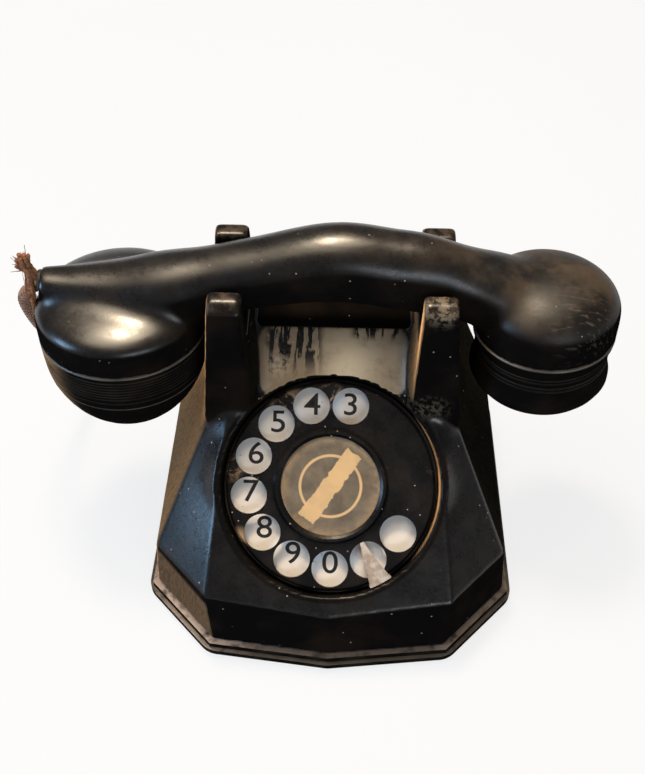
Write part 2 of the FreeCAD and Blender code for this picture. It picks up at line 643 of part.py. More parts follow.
def polar(radius, alias):
    # a spot on a circle, from its radius and the name of its angle
    turn = math.radians(v(alias))
    across = Size("(%s * cos(Sizes.%s))" % (radius.text, alias), radius.value * math.cos(turn))
    along = Size("(%s * sin(Sizes.%s))" % (radius.text, alias), radius.value * math.sin(turn))
    return across, along


def finger_wheel():
    # the wheel with its ten finger holes, a raised centre and a turned-down rim
    body = new_body("finger_wheel")
    under = s("wheel_radius") - s("wheel_thick")
    turned(body, "wheel", [(0, -s("wheel_thick")), (under, -s("wheel_thick")),
                           (under + s("wheel_thick") * 0.4, -s("wheel_thick") * 1.5),
                           (s("wheel_radius"), -s("wheel_thick") * 1.3),
                           (s("wheel_radius"), -s("wheel_thick") * 0.6),
                           (s("wheel_radius") - s("wheel_thick") * 0.5, 0), (0, 0)])
    first = polar(HOLE_RING, "hole_first")
    hole = drill(body, "finger_hole", [(first, HOLE_RADIUS)], -s("wheel_thick") * 4, s("wheel_thick") * 8)
    repeat(body, hole, s("hole_count"), s("hole_step"))
    on_dial(body)
    return done(body)


def card_pieces():
    ring = new_body("card_ring")
    high = s("card_ring_high")
    turned(ring, "card_ring_section", [(CARD_HOLE, 0), (CARD_RING, 0), (CARD_RING, high * 0.5),
                                       (CARD_RING - high * 0.4, high), (CARD_HOLE + high * 0.4, high),
                                       (CARD_HOLE, high * 0.7)])
    on_dial(ring)
    done(ring)
    card = new_body("dial_card")
    pad_disc(card, "card_disc", (0, 0), CARD_HOLE - s("card_fit"), 0, s("card_thick"))
    on_dial(card)
    done(card)
    window = new_body("card_window")
    pad_disc(window, "window_disc", (0, 0), CARD_HOLE - s("card_fit"), s("card_thick"), s("window_thick"))
    on_dial(window)
    done(window)


def dial_shaft():
    body = new_body("dial_shaft")
    top = -s("wheel_thick")
    turned(body, "shaft", [(0, s("shaft_end")), (s("shaft_radius"), s("shaft_end")),
                           (s("shaft_radius"), top - s("hub_thick")), (s("hub_radius"), top - s("hub_thick")),
                           (s("hub_radius"), top), (0, top)])
    on_dial(body)
    return done(body)


def gear_blank(teeth, turn, x, low):
    # tooth outline with straight flanks, narrower than half a pitch so that the pair runs free
    module = v("gear_module")
    share = v("tooth_share")
    pitch = module * teeth / 2
    root = -v("tooth_root")
    points = []
    step = 2 * math.pi / teeth
    flanks = [(root, v("root_wide")), (v("tooth_tip"), v("tip_wide")), (v("tooth_tip"), -v("tip_wide")),
              (root, -v("root_wide"))]
    for i in range(teeth):
        middle = turn + i * step
        for reach, width in flanks:
            angle = middle - step * share * width / 2
            radius = pitch + reach * module
            points.append(Vector(x + radius * math.cos(angle), radius * math.sin(angle), low))
    return Part.Face(Part.makePolygon(points + [points[0]]))


def gear_train():
    centre = GEAR_CENTRE.value
    teeth = int(v("gear_teeth"))
    low = v("gear_top") - v("gear_thick")
    # a tooth of the wheel points at the pinion, and a gap of the pinion points back
    wheel = gear_blank(teeth, math.pi, 0, low).extrude(Vector(0, 0, v("gear_thick")))
    bore = v("shaft_radius") + v("bore_fit")
    wheel = wheel.cut(Part.makeCylinder(bore, v("gear_thick"), Vector(0, 0, low)))
    node = done(shape_node("main_gear", wheel))
    on_dial(node)
    small = int(v("pinion_teeth"))
    pinion = gear_blank(small, math.pi / small, centre, low - v("pinion_extra"))
    pinion = pinion.extrude(Vector(0, 0, v("gear_thick") + 2 * v("pinion_extra")))
    floor = v("bridge_top") + v("cup_wall")
    arbor_low = floor + v("arbor_gap")
    arbor_high = -v("plate_depth") - v("plate_thick") - v("cup_wall")
    arbor = Part.makeCylinder(v("governor_shaft"), arbor_high - arbor_low, Vector(centre, 0, arbor_low))
    node = done(shape_node("governor_pinion", pinion.fuse(arbor).removeSplitter()))
    on_dial(node)
    reach = v("governor_radius")
    low = floor + v("rotor_gap")
    tall = v("cup_top") - v("rotor_gap") - low
    rotor = Part.makeCylinder(reach, tall, Vector(centre, 0, low))
    rotor = rotor.cut(Part.makeCylinder(v("governor_shaft"), tall, Vector(centre, 0, low)))
    corner = Vector(centre - reach, -v("slit_wide") / 2, low + v("slit_floor"))
    slit = Part.makeBox(2 * reach, v("slit_wide"), tall, corner)
    node = done(shape_node("governor_weights", rotor.cut(slit)))
    on_dial(node)
    cup = new_body("governor_cup")
    turned(cup, "cup", [(0, s("bridge_top")), (s("cup_radius"), s("bridge_top")),
                        (s("cup_radius"), s("cup_top")),
                        (s("cup_radius") - s("cup_wall"), s("cup_top")),
                        (s("cup_radius") - s("cup_wall"), s("bridge_top") + s("cup_wall")),
                        (0, s("bridge_top") + s("cup_wall"))])
    turn = FreeCAD.Rotation(Vector(1, 0, 0), v("dial_tilt"))
    cup.Placement = FreeCAD.Placement(Vector(centre, v("dial_y"), v("dial_z")), turn)
    bind(cup, "Placement.Base.x", GEAR_CENTRE)
    bind(cup, "Placement.Base.y", s("dial_y"))
    bind(cup, "Placement.Base.z", s("dial_z"))
    bind(cup, "Placement.Rotation.Angle", s("dial_tilt"))
    done(cup)


def return_spring():
    # a flat spiral of half circles round the bearing
    inner = []
    outer = []
    half = v("spring_strip") / 2
    radius = v("spring_inner")
    z = -v("recess_depth") - v("spring_tall") - v("spring_gap")
    x = radius
    side = 1
    for i in range(int(2 * v("spring_turns"))):
        following = radius + v("spring_pitch") / 2
        end = -side * following
        centre = (x + end) / 2
        reach = abs(x - end) / 2
        for edges, shift in ((inner, -half), (outer, half)):
            start = Vector(centre + side * (reach + shift), 0, z)
            middle = Vector(centre, side * (reach + shift), z)
            edges.append(Part.Arc(start, middle, Vector(centre - side * (reach + shift), 0, z)).toShape())
        x = end
        radius = following
        side = -side
    first = Part.LineSegment(inner[0].Vertexes[0].Point, outer[0].Vertexes[0].Point).toShape()
    last = Part.LineSegment(inner[-1].Vertexes[-1].Point, outer[-1].Vertexes[-1].Point).toShape()
    wire = Part.Wire(Part.__sortEdges__(inner + outer + [first, last]))
    node = done(shape_node("return_spring", Part.Face(wire).extrude(Vector(0, 0, v("spring_tall")))))
    on_dial(node)


def pulse_parts():
    cam = []
    lobes = int(v("cam_lobes"))
    for i in range(lobes * 2):
        radius = v("cam_radius") - (v("cam_dip") if i % 2 else 0)
        angle = math.pi * i / lobes
        cam.append(Vector(radius * math.cos(angle), radius * math.sin(angle), v("cam_top") - v("cam_thick")))
    solid = Part.Face(Part.makePolygon(cam + [cam[0]])).extrude(Vector(0, 0, v("cam_thick")))
    low = Vector(0, 0, v("cam_top") - v("cam_thick"))
    bore = Part.makeCylinder(v("shaft_radius") + v("bore_fit"), v("cam_thick"), low)
    node = done(shape_node("pulse_cam", solid.cut(bore)))
    on_dial(node)
    block = new_body("pulse_block")
    near = s("block_near")
    half = s("block_wide") / 2
    walls = rectangle(near, -half, near + s("block_deep"), half)
    pad(block, "pulse_block_plan", walls, s("bridge_top"), s("block_tall"))
    on_dial(block)
    done(block)
    leaf = new_body("pulse_leaf")
    tip = s("cam_radius") + s("leaf_gap")
    pad(leaf, "leaf_plan", rectangle(tip, -s("leaf_thick") / 2, near, s("leaf_thick") / 2),
        s("cam_top") - s("cam_thick"), s("leaf_tall") * 0.6)
    leaves = group("pulse_springs", leaf, [Vector(0, row * v("leaf_pitch"), 0) for row in (-1, 0, 1)])
    on_dial(leaves)


def dial_bridge():
    # the rear plate of the dial, on four pillars
    body = new_body("dial_bridge")
    low = s("bridge_top") - s("bridge_thick")
    pad_disc(body, "bridge_disc", (0, 0), BRIDGE, low, s("bridge_thick"))
    x, y = polar(BRIDGE - s("pillar_inset"), "pillar_angle")
    sketch = new_sketch(body, "pillars", "XY_Plane", s("bridge_top"))
    for spot in ((x, y), (x, -y), (-x, y), (-x, -y)):
        circle(sketch, spot, s("pillar_radius"))
    extrude(body, "Pad", sketch, -s("bridge_top") - s("recess_depth"))
    drill(body, "bridge_bore", [((0, 0), s("shaft_radius") + s("running_fit"))], low * 2, -low * 2)
    on_dial(body)
    return done(body)


def finger_stop():
    # a bent claw: a leg beside the wheel's rim and a tapered tongue over one of its holes
    lift = v("stop_lift")
    thick = v("stop_thick")
    outer = RECESS.value - v("stop_gap")
    neck = outer - v("stop_neck_in")
    tip = outer - v("stop_reach")
    base_half = v("stop_base_half")
    corners = [(tip, v("stop_lean") + v("stop_tip_half")), (tip, v("stop_lean") - v("stop_tip_half")),
               (neck, -v("stop_neck_half")), (outer, -base_half), (outer, base_half),
               (neck, v("stop_neck_half"))]
    points = [Vector(x, y, lift) for x, y in corners]
    tongue = Part.Face(Part.makePolygon(points + [points[0]])).extrude(Vector(0, 0, thick))
    tongue = tongue.common(Part.makeCylinder(outer, thick, Vector(0, 0, lift)))
    low = Vector(0, 0, -v("plate_depth"))
    tall = v("plate_depth") + lift + thick
    rim = v("wheel_radius") + v("stop_gap")
    leg = Part.makeCylinder(outer, tall, low).cut(Part.makeCylinder(rim, tall, low))
    leg = leg.common(Part.makeBox(outer, 2 * base_half, tall, low - Vector(0, base_half, 0)))
    solid = tongue.fuse(leg).removeSplitter()
    turn = FreeCAD.Matrix()
    turn.rotateZ(math.radians(v("stop_angle")))
    node = done(shape_node("finger_stop", solid.transformGeometry(turn)))
    on_dial(node)


def plunger(label, side):
    # a hook plunger: it stands in the seat of an ear and a collar keeps it there
    body = new_body(label)
    foot = s("plunger_foot")
    top = s("plunger_top")
    collar = s("seat_z") - s("ear_wall") - s("plunger_travel") - s("collar_thick") - s("collar_gap")
    turned(body, label + "_section", [(0, foot), (s("plunger_radius"), foot), (s("plunger_radius"), collar),
                                      (s("plunger_collar"), collar),
                                      (s("plunger_collar"), collar + s("collar_thick")),
                                      (s("plunger_radius"), collar + s("collar_thick")),
                                      (s("plunger_radius"), top - s("plunger_chamfer")),
                                      (s("plunger_radius") - s("plunger_chamfer"), top), (0, top)])
    place(body, side * s("plunger_x"), s("cradle_y"), 0)
    return done(body)


def hook_lever():
    # a yoke under both plungers, hinged behind them
    body = new_body("hook_lever")
    half = s("lever_wide") / 2
    near = s("plunger_x") - half
    far = s("plunger_x") + half
    low = s("lever_z") - s("lever_thick") / 2
    back = s("lever_pivot_y") + s("lug_radius")
    bar = s("lever_pivot_y") - s("lug_radius")
    points = [(-far, s("lever_front")), (-near, s("lever_front")), (-near, bar - s("lever_bar")),
              (near, bar - s("lever_bar")), (near, s("lever_front")), (far, s("lever_front")),
              (far, back), (near, back), (near, bar), (-near, bar), (-near, back), (-far, back)]
    pad(body, "lever_plan", points, low, s("lever_thick"))
    for sign, name in ((1, "right_barrel"), (-1, "left_barrel")):
        sketch = new_sketch(body, name, "YZ_Plane", sign * s("plunger_x") - half)
        circle(sketch, (s("lever_pivot_y"), s("lever_z")), s("lug_radius"))
        extrude(body, "Pad", sketch, s("lever_wide"))
    sketch = new_sketch(body, "lever_bore", "YZ_Plane", far * 2)
    circle(sketch, (s("lever_pivot_y"), s("lever_z")), s("pin_radius") + s("running_fit"))
    extrude(body, "Pocket", sketch, far * 4)
    return done(body)


def hook_bracket():
    # two legs with feet and a shelf between them for the switch
    body = new_body("hook_bracket")
    inner = s("bracket_x") - s("bracket_thick") / 2
    outer = s("bracket_x") + s("bracket_thick") / 2
    low = s("lever_pivot_y") - s("bracket_wide") / 2
    high = s("lever_pivot_y") + s("bracket_wide") / 2
    foot = inner - s("bracket_foot")
    shelf = s("shelf_z")
    thick = s("bracket_thick")
    top = s("lever_z") + s("lug_radius")
    pad(body, "shelf", rectangle(-outer, low, outer, high), shelf, thick)
    for sign, name in ((1, "right"), (-1, "left")):
        pad(body, name + "_leg", rectangle(sign * inner, low, sign * outer, high), TRAY, top - TRAY)
        pad(body, name + "_foot", rectangle(sign * foot, low, sign * outer, high), TRAY, thick)
    sketch = new_sketch(body, "pin_holes", "YZ_Plane", outer * 2)
    circle(sketch, (s("lever_pivot_y"), s("lever_z")), s("pin_radius") + s("fit") / 6)
    extrude(body, "Pocket", sketch, outer * 4)
    return done(body)


def hook_pin():
    pin = doc.addObject("Part::Cylinder", "hook_pin")
    pin.Label = "hook_pin"
    reach = s("bracket_x") + s("bracket_thick")
    bind(pin, "Radius", s("pin_radius"))
    bind(pin, "Height", reach * 2)
    place(pin, -reach, s("lever_pivot_y"), s("lever_z"), Vector(0, 1, 0), 90)
    return done(pin)


def hook_switch():
    block = new_body("switch_block")
    low = s("lever_pivot_y") - s("bracket_wide") / 2
    base = s("shelf_z") + s("bracket_thick")
    half = s("pile_wide") / 2
    pad(block, "switch_plan", rectangle(-half, low, half, low + s("bracket_wide")), base, s("pile_tall"))
    done(block)
    leaf = new_body("switch_leaf")
    narrow = s("pile_wide") * 0.3
    pad(leaf, "switch_leaf_plan", rectangle(-narrow, low - s("leaf_long"), narrow, low),
        base + s("switch_leaf_low"), s("leaf_thick"))
    return group("switch_springs", leaf, [Vector(0, 0, row * v("switch_leaf_pitch")) for row in range(3)])


def ringer():
    base = TRAY + s("ringer_plate")
    frame = new_body("ringer_frame")
    x = s("ringer_plate_x")
    y = s("ringer_plate_y")
    walls = rectangle(-x, s("ringer_y") - y, x, s("ringer_y") + y)
    pad(frame, "ringer_floor", walls, TRAY, s("ringer_plate"))
    half = s("lug_wide") / 2
    for sign, name in ((1, "rear_lug"), (-1, "front_lug")):
        middle = s("ringer_y") + sign * s("lug_y")
        pad(frame, name, rectangle(-half, middle - s("lug_thick") / 2, half, middle + s("lug_thick") / 2),
            base, s("armature_z") + half - base)
    sketch = new_sketch(frame, "armature_holes", "XZ_Plane", s("ringer_y"))
    circle(sketch, (0, s("armature_z")), s("armature_pin") + s("running_fit"))
    extrude(frame, "Pocket", sketch, s("ringer_y") * 4)
    done(frame)
    post = new_body("gong_post")
    post_top = s("gong_z") + s("gong_tall") - s("gong_wall")
    pad_disc(post, "post_disc", (0, s("ringer_y")), s("post_radius"), base, post_top - base)
    sides = [Vector(-v("gong_x"), 0, 0), Vector(v("gong_x"), 0, 0)]
    group("gong_posts", post, sides)
    for side, name in ((-1, "left_gong"), (1, "right_gong")):
        gong = new_body(name)
        r = s("gong_radius")
        w = s("gong_wall")
        low = s("gong_z")
        tall = s("gong_tall")
        top = low + tall
        turned(gong, name + "_section", [(r - w, low), (r, low), (r * 0.97, low + tall * 0.35),
                                         (r * 0.84, low + tall * 0.72), (r * 0.55, top), (0, top),
                                         (0, top - w), (r * 0.52, top - w), (r * 0.84 - w, low + tall * 0.68),
                                         (r * 0.97 - w, low + tall * 0.35)])
        place(gong, side * s("gong_x"), s("ringer_y"), 0)
        done(gong)
    screw = new_body("gong_screw")
    top = s("gong_z") + s("gong_tall")
    turned(screw, "gong_screw_section", [(0, top), (s("screw_head"), top),
                                         (s("screw_head"), top + s("screw_head_thick")),
                                         (s("screw_head") * 0.7, top + s("screw_head_thick") * 1.6),
                                         (0, top + s("screw_head_thick") * 1.6)])
    group("gong_screws", screw, [side + Vector(0, v("ringer_y"), 0) for side in sides])
    coil = new_body("ringer_coil")
    tall = s("coil_tall")
    flange = s("flange_thick")
    turned(coil, "coil_section", [(0, base), (s("flange_radius"), base), (s("flange_radius"), base + flange),
                                  (s("coil_radius"), base + flange), (s("coil_radius"), base + tall - flange),
                                  (s("flange_radius"), base + tall - flange),
                                  (s("flange_radius"), base + tall), (s("core_radius"), base + tall),
                                  (s("core_radius"), base + tall + s("pole_proud")),
                                  (0, base + tall + s("pole_proud"))])
    group("ringer_coils", coil, [Vector(side * v("coil_x"), v("ringer_y"), 0) for side in (-1, 1)])


def clapper():
    # the armature, its pin and the striker on its rod
    middle = Vector(0, v("ringer_y"), v("armature_z"))
    half = v("armature_half")
    wide = v("armature_wide")
    thick = v("armature_thick")
    bar = Part.makeBox(2 * half, wide, thick, middle - Vector(half, wide / 2, thick / 2))
    reach = v("lug_y") + v("lug_thick")
    pin = Part.makeCylinder(v("armature_pin"), 2 * reach, middle - Vector(0, reach, 0), Vector(0, 1, 0))
    hub = Part.makeCylinder(thick, wide, middle - Vector(0, wide / 2, 0), Vector(0, 1, 0))
    rod = Part.makeCylinder(v("clapper_rod"), v("clapper_z") - v("armature_z"), middle)
    ball = Part.makeSphere(v("clapper_ball"), Vector(0, v("ringer_y"), v("clapper_z")))
    done(shape_node("clapper", bar.fuse([pin, hub, rod, ball]).removeSplitter()))


def electrics():
    coil = new_body("induction_coil")
    cheek = s("cheek_thick")
    length = s("coil_length")
    half = s("cheek_half")
    square = rectangle(-half, -half, half, half)
    pad(coil, "front_cheek", square, 0, cheek)
    pad_disc(coil, "winding", (0, 0), s("induction_radius"), cheek, length - cheek * 2)
    pad(coil, "rear_cheek", square, length - cheek, cheek)
    place(coil, s("block_x"), s("coil_front") + length, TRAY + half, Vector(1, 0, 0), 90)
    done(coil)
    case = new_body("condenser")
    side = s("condenser_wide") / 2
    walls = rectangle(-s("block_x") - side, s("coil_front"), -s("block_x") + side, s("coil_front") + length)
    pad(case, "condenser_plan", walls, TRAY, s("condenser_tall"))
    done(case)
    strip = new_body("terminal_strip")
    deep = s("strip_deep") / 2
    walls = rectangle(s("strip_x") - s("strip_half"), s("strip_y") - deep,
                      s("strip_x") + s("strip_half"), s("strip_y") + deep)
    pad(strip, "strip_plan", walls, TRAY, s("strip_tall"))
    done(strip)


def handle_section(x, z, tall, wide):
    ring = Part.makeCircle(1.0, Vector(0, 0, 0), Vector(1, 0, 0))
    matrix = FreeCAD.Matrix()
    matrix.scale(Vector(1, wide, tall))
    matrix.move(Vector(x, v("cradle_y"), z))
    return Part.Wire(ring.transformGeometry(matrix))


def end_dome(x, seam, radius, tuck, straight, rise):
    # a round end: nearly upright below, an ellipse above
    waist = seam + straight
    ellipse = Part.Ellipse(Vector(radius, 0, waist), Vector(0, 0, seam + rise), Vector(0, 0, waist))
    arc = Part.ArcOfEllipse(ellipse, 0, math.pi / 2).toShape()
    ends = [arc.Vertexes[0].Point, arc.Vertexes[-1].Point]
    rim = max(ends, key=lambda point: point.x)
    crown = min(ends, key=lambda point: point.x)
    low = Vector(radius - tuck, 0, seam)
    middle = Vector(0, 0, seam)
    sides = [Part.makeLine(middle, low), Part.makeLine(low, rim), arc, Part.makeLine(crown, middle)]
    face = Part.Face(Part.Wire(sides))
    solid = face.revolve(Vector(0, 0, 0), Vector(0, 0, 1), 360)
    solid.translate(Vector(x, v("cradle_y"), 0))
    return solid


def upright(x, radius, low, high):
    return Part.makeCylinder(radius, high - low, Vector(x, v("cradle_y"), low))


def channel(start, end, radius):
    return Part.makeCylinder(radius, (end - start).Length, start, end - start)


def round_end(x, name, radius):
    # one end of the handset: its dome, what is cleared below its seam, its two rooms and the wire's way out
    seam = v(name + "_seam")
    under = seam - v(name + "_cap_tall")
    dome = end_dome(x, seam, radius, v(name + "_tuck"), v(name + "_straight"), v(name + "_rise"))
    clear = upright(x, radius + 2 * v("cap_wall"), under, seam)
    cavity_top = seam + v(name + "_cavity_rise")
    rooms = [upright(x, v(name + "_cavity"), under, cavity_top),
             upright(x, v(name + "_well"), under, seam + v(name + "_well_rise"))]
    return dome, clear, rooms, Vector(x, v("cradle_y"), cavity_top)


def handset_body():
    # an arched grip that swells into a round housing at each end
    sections = []
    for i, station in enumerate(GRIP):
        x, z, tall, wide = [v("grip%d_%s" % (i, word)) for word in ("x", "z", "tall", "wide")]
        sections.append(handle_section(ANCHORS[station[0]].value + x, z, tall, wide))
    grip = Part.makeLoft(sections, True, False)
    sender, sender_clear, sender_rooms, sender_way = round_end(SENDER_X.value, "sender", v("sender_radius"))
    receiver, ear_clear, ear_rooms, ear_way = round_end(EAR_X.value, "ear", v("ear_cap_radius"))
    grip = grip.cut(sender_clear).cut(ear_clear)
    solid = sender.fuse([grip, receiver])
    y = v("cradle_y")
    middle = Vector(0, y, v("grip%d_z" % GRIP_MIDDLE))
    tip = Vector(TIP_X.value - v("bush_lip"), y, v("tip_z"))
    ways = [channel(sender_way, middle, v("wire_radius")), channel(ear_way, middle, v("wire_radius")),
            channel(tip, Vector(SENDER_X.value, y, v("tip_z")), v("cord_hole"))]
    for piece in sender_rooms + ear_rooms + ways:
        solid = solid.cut(piece)
    solid.rotate(Vector(0, y, v("tip_z")), Vector(1, 0, 0), v("handset_roll"))
    return done(shape_node("handset_body", solid))


def place_rolled(body, x):
    # in the handset's own lean, about the line of the cord's hole
    place(body, x, s("cradle_y") + SIN_ROLL * s("tip_z"), s("tip_z") - COS_ROLL * s("tip_z"),
          Vector(1, 0, 0), s("handset_roll"))


def cap(label, x, name, radius, profile):
    # a hollow screw cap below the seam, pierced in the middle of its face
    body = new_body(label)
    wall = s("cap_wall")
    seam = s(name + "_seam")
    tall = s(name + "_cap_tall")
    outer = [(radius * share, seam - tall * drop) for share, drop in profile]
    inner = [(radius * share - wall, seam - (tall - wall) * drop) for share, drop in reversed(profile)]
    turned(body, label + "_section", outer + [(0, seam - tall), (0, seam - tall + wall)] + inner)
    place_rolled(body, x)
    ring = radius * s(name + "_holes")
    hole = drill(body, label + "_hole", [((ring, 0), s("hole_small"))], seam - tall - wall, wall * 3)
    repeat(body, hole, s("cap_holes"), s("cap_hole_step"))
    drill(body, label + "_middle", [((0, 0), s("hole_small"))], seam - tall - wall, wall * 3)
    return done(body)


def capsule(label, x, low, high, radius):
    body = new_body(label)
    tall = high - low
    turned(body, label + "_section", [(0, low), (radius * 0.62, low), (radius * 0.7, low + tall * 0.45),
                                      (radius, low + tall * 0.6), (radius, high), (0, high)])
    place_rolled(body, x)
    return done(body)


def handset():
    handset_body()
    # each cap's outline from the seam down: share of its radius, share of its height
    bowl = [(1.0, 0), (0.995, 0.08), (0.968, 0.32), (0.915, 0.48), (0.82, 0.64),
            (0.7, 0.8), (0.55, 0.92), (0.36, 0.98)]
    cap("transmitter_cap", SENDER_X, "sender", s("sender_radius") - s("sender_tuck"), bowl)
    waisted = [(1.0, 0), (0.99, 0.09), (0.955, 0.16), (0.945, 0.42), (0.99, 0.6),
               (0.985, 0.66), (0.85, 0.82), (0.62, 0.96)]
    cap("receiver_cap", EAR_X, "ear", s("ear_cap_radius") - s("ear_tuck"), waisted)
    capsule("transmitter_capsule", SENDER_X, s("sender_seam") - s("sender_capsule_drop"),
            s("sender_seam") + s("sender_cavity_rise"), s("sender_cavity") - s("capsule_fit"))
    capsule("receiver_capsule", EAR_X, s("ear_seam") - s("receiver_capsule_drop"),
            s("ear_seam") + s("ear_cavity_rise"), s("ear_cavity") - s("capsule_fit"))
    bush = new_body("cord_bush")
    turned(bush, "bush_section", [(s("bush_hole"), -s("bush_long")), (s("bush_out"), -s("bush_long")),
                                  (s("bush_out"), 0), (s("bush_out") - s("bush_lip") * 0.5, s("bush_lip")),
                                  (s("bush_hole"), s("bush_lip"))])
    place(bush, TIP_X, s("cradle_y"), s("tip_z"), Vector(0, 1, 0), -90)
    done(bush)


def cord_edges(points, splits):
    # straight runs joined by tangent arcs, parted in the middle of the named runs
    parts = [[]]
    start = points[0]
    for i in range(1, len(points)):
        run = points[i] - points[i - 1]
        ahead = Vector(run).normalize()
        end = points[i]
        arc = None
        if i < len(points) - 1:
            after = points[i + 1] - points[i]
            turn = run.getAngle(after)
            radius = 0.45 * min(run.Length, after.Length) / math.tan(turn / 2)
            print("cord bend radius %.1f mm, turn %.0f degrees" % (radius, math.degrees(turn)))
            reach = radius * math.tan(turn / 2)
            onward = Vector(after).normalize()
            end = points[i] - ahead * reach
            leave = points[i] + onward * reach
            inward = (onward - ahead).normalize()
            arc = Part.Arc(end, points[i] + inward * (radius / math.cos(turn / 2) - radius), leave)
        if i - 1 in splits:
            middle = (start + end) * 0.5
            parts[-1].append(Part.LineSegment(start, middle).toShape())
            parts.append([])
            start = middle
        parts[-1].append(Part.LineSegment(start, end).toShape())
        if arc is not None:
            parts[-1].append(arc.toShape())
            start = leave
    return parts


def tube(label, edges):
    wire = Part.Wire(edges)
    first = edges[0]
    ahead = first.tangentAt(first.FirstParameter)
    ring = Part.Wire(Part.makeCircle(v("cord_radius"), first.valueAt(first.FirstParameter), ahead))
    solid = wire.makePipeShell([ring], True, False)
    share = solid.Volume / (math.pi * v("cord_radius") ** 2 * wire.Length)
    print("%s: length %.0f mm, volume against section times length %.3f" % (label, wire.Length, share))
    return done(shape_node(label, solid))


def coil_edges():
    # loops on the table: a spiral inwards, a climb, and a spiral outwards above it
    table = v("table_lift")
    lead = 2 * v("cord_radius")
    near = -v("coil_out")
    step = v("loop_pitch") / 2
    inmost = v("inner_loop")
    inward = [0, 1, 2, 3, 4, inmost]
    outward = [inmost, 4, 3, 2, 1]
    spots = []
    side = 1
    for layer, turns in ((0, inward), (1, outward)):
        for turn in turns:
            y = v("coil_cy") + side * (near + turn * step)
            spots.append(Vector(v("coil_cx"), y, table + layer * v("layer_rise")))
            side = -side
    edges = [Part.LineSegment(spots[0] - Vector(lead, 0, 0), spots[0]).toShape()]
    side = 1
    for a, b in zip(spots, spots[1:]):
        middle = (a + b) * 0.5 + Vector(side * (a - b).Length / 2, 0, 0)
        edges.append(Part.Arc(a, middle, b).toShape())
        side = -side
    edges.append(Part.LineSegment(spots[-1], spots[-1] + Vector(lead, 0, 0)).toShape())
    return edges, spots[0] - Vector(lead, 0, 0), spots[-1] + Vector(lead, 0, 0)


def least_gap(edges):
    # the least distance between parts of the cord more than a few diameters apart along it
    points = []
    travelled = 0.0
    for edge in edges:
        count = max(2, int(edge.Length / 1.5))
        for i in range(count):
            share = edge.FirstParameter + (edge.LastParameter - edge.FirstParameter) * i / count
            points.append((travelled + edge.Length * i / count, edge.valueAt(share)))
        travelled += edge.Length
    least = 1e9
    for i, (along, point) in enumerate(points):
        for further, other in points[i + 1:]:
            if further - along > 8 * v("cord_radius"):
                least = min(least, (point - other).Length)
    return least - 2 * v("cord_radius")


def handset_cord():
    coil, coil_start, coil_end = coil_edges()
    route = [Vector(v("route%d_x" % i), v("route%d_y" % i), v("route%d_z" % i)) for i in range(ROUTE_COUNT)]
    stub, drop = cord_edges(route + [coil_start], [1])
    tube("cord_stub", stub)
    tube("cord_drop", drop)
    print("cord coil: least gap between loops %.2f mm" % least_gap(coil))
    tube("cord_coil", coil)
    rise = Vector(v("tail_rise_x"), coil_end.y, coil_end.z)
    corner = Vector(v("inlet_x"), coil_end.y, v("inlet_z"))
    inside = Vector(v("inlet_x"), v("cord_end_y"), v("inlet_z"))
    tail = cord_edges([coil_end, rise, corner, inside], [])[0]
    tube("cord_tail", tail)


felt_pad()
base_plate()
housing()
housing_screws()
grommet("cord_inlet", s("inlet_x"), s("cord_radius") + s("inlet_fit"))
grommet("line_inlet", s("line_inlet_x"), s("cord_radius") + s("inlet_fit"))
dial_frame()
number_plate()
finger_wheel()
card_pieces()
dial_shaft()
gear_train()
return_spring()
pulse_parts()
dial_bridge()
finger_stop()
plunger("left_plunger", -1)
plunger("right_plunger", 1)
hook_lever()
hook_bracket()
hook_pin()
hook_switch()
ringer()
clapper()
electrics()
handset()
handset_cord()
doc.recompute()

for item in doc.Objects:
    if "Invalid" in item.State or "Error" in item.State:
        raise SystemExit("%s is in state %s" % (item.Label, item.State))
for node in NODES:
    shape = node.Shape
    if shape.isNull() or not shape.isValid() or shape.Volume < 1e-3:
        raise SystemExit("%s has no valid solid" % node.Label)
    shape.exportStep("parts/%s.step" % node.Label)
    print("%-22s %d solid(s) %10.1f mm3" % (node.Label, len(shape.Solids), shape.Volume))
print("%d nodes" % len(NODES))
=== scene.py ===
import bpy
import math
import random
import numpy as np
from mathutils import Matrix, Vector


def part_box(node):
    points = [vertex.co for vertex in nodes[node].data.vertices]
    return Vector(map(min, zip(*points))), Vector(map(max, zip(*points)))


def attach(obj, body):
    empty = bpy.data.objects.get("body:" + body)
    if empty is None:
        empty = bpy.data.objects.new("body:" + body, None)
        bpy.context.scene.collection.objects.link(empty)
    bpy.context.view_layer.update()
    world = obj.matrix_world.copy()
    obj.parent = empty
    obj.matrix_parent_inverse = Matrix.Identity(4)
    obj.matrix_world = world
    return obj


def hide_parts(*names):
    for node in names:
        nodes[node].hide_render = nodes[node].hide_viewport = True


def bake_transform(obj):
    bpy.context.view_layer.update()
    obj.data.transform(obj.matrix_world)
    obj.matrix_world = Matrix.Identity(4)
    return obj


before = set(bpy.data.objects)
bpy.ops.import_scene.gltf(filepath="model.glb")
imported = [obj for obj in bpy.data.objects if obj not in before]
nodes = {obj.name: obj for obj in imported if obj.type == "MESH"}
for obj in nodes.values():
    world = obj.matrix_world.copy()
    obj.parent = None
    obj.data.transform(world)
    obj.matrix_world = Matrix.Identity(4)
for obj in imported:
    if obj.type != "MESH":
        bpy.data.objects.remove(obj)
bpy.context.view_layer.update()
scene = bpy.context.scene
scene.view_settings.view_transform = "Standard"
random.seed(7)
mm = 0.001
print("frame loaded:", len(nodes), "nodes")


# camera, at the height and lens that the picture was taken with
camera = {
    "place": (0.00758, -0.30149, 0.430),
    "right": (0.9995, 0.0323, -0.0049),
    "up": (-0.0215, 0.7641, 0.6447),
    "back": (0.0246, -0.6443, 0.7644),
    "lens": 58.14,
}


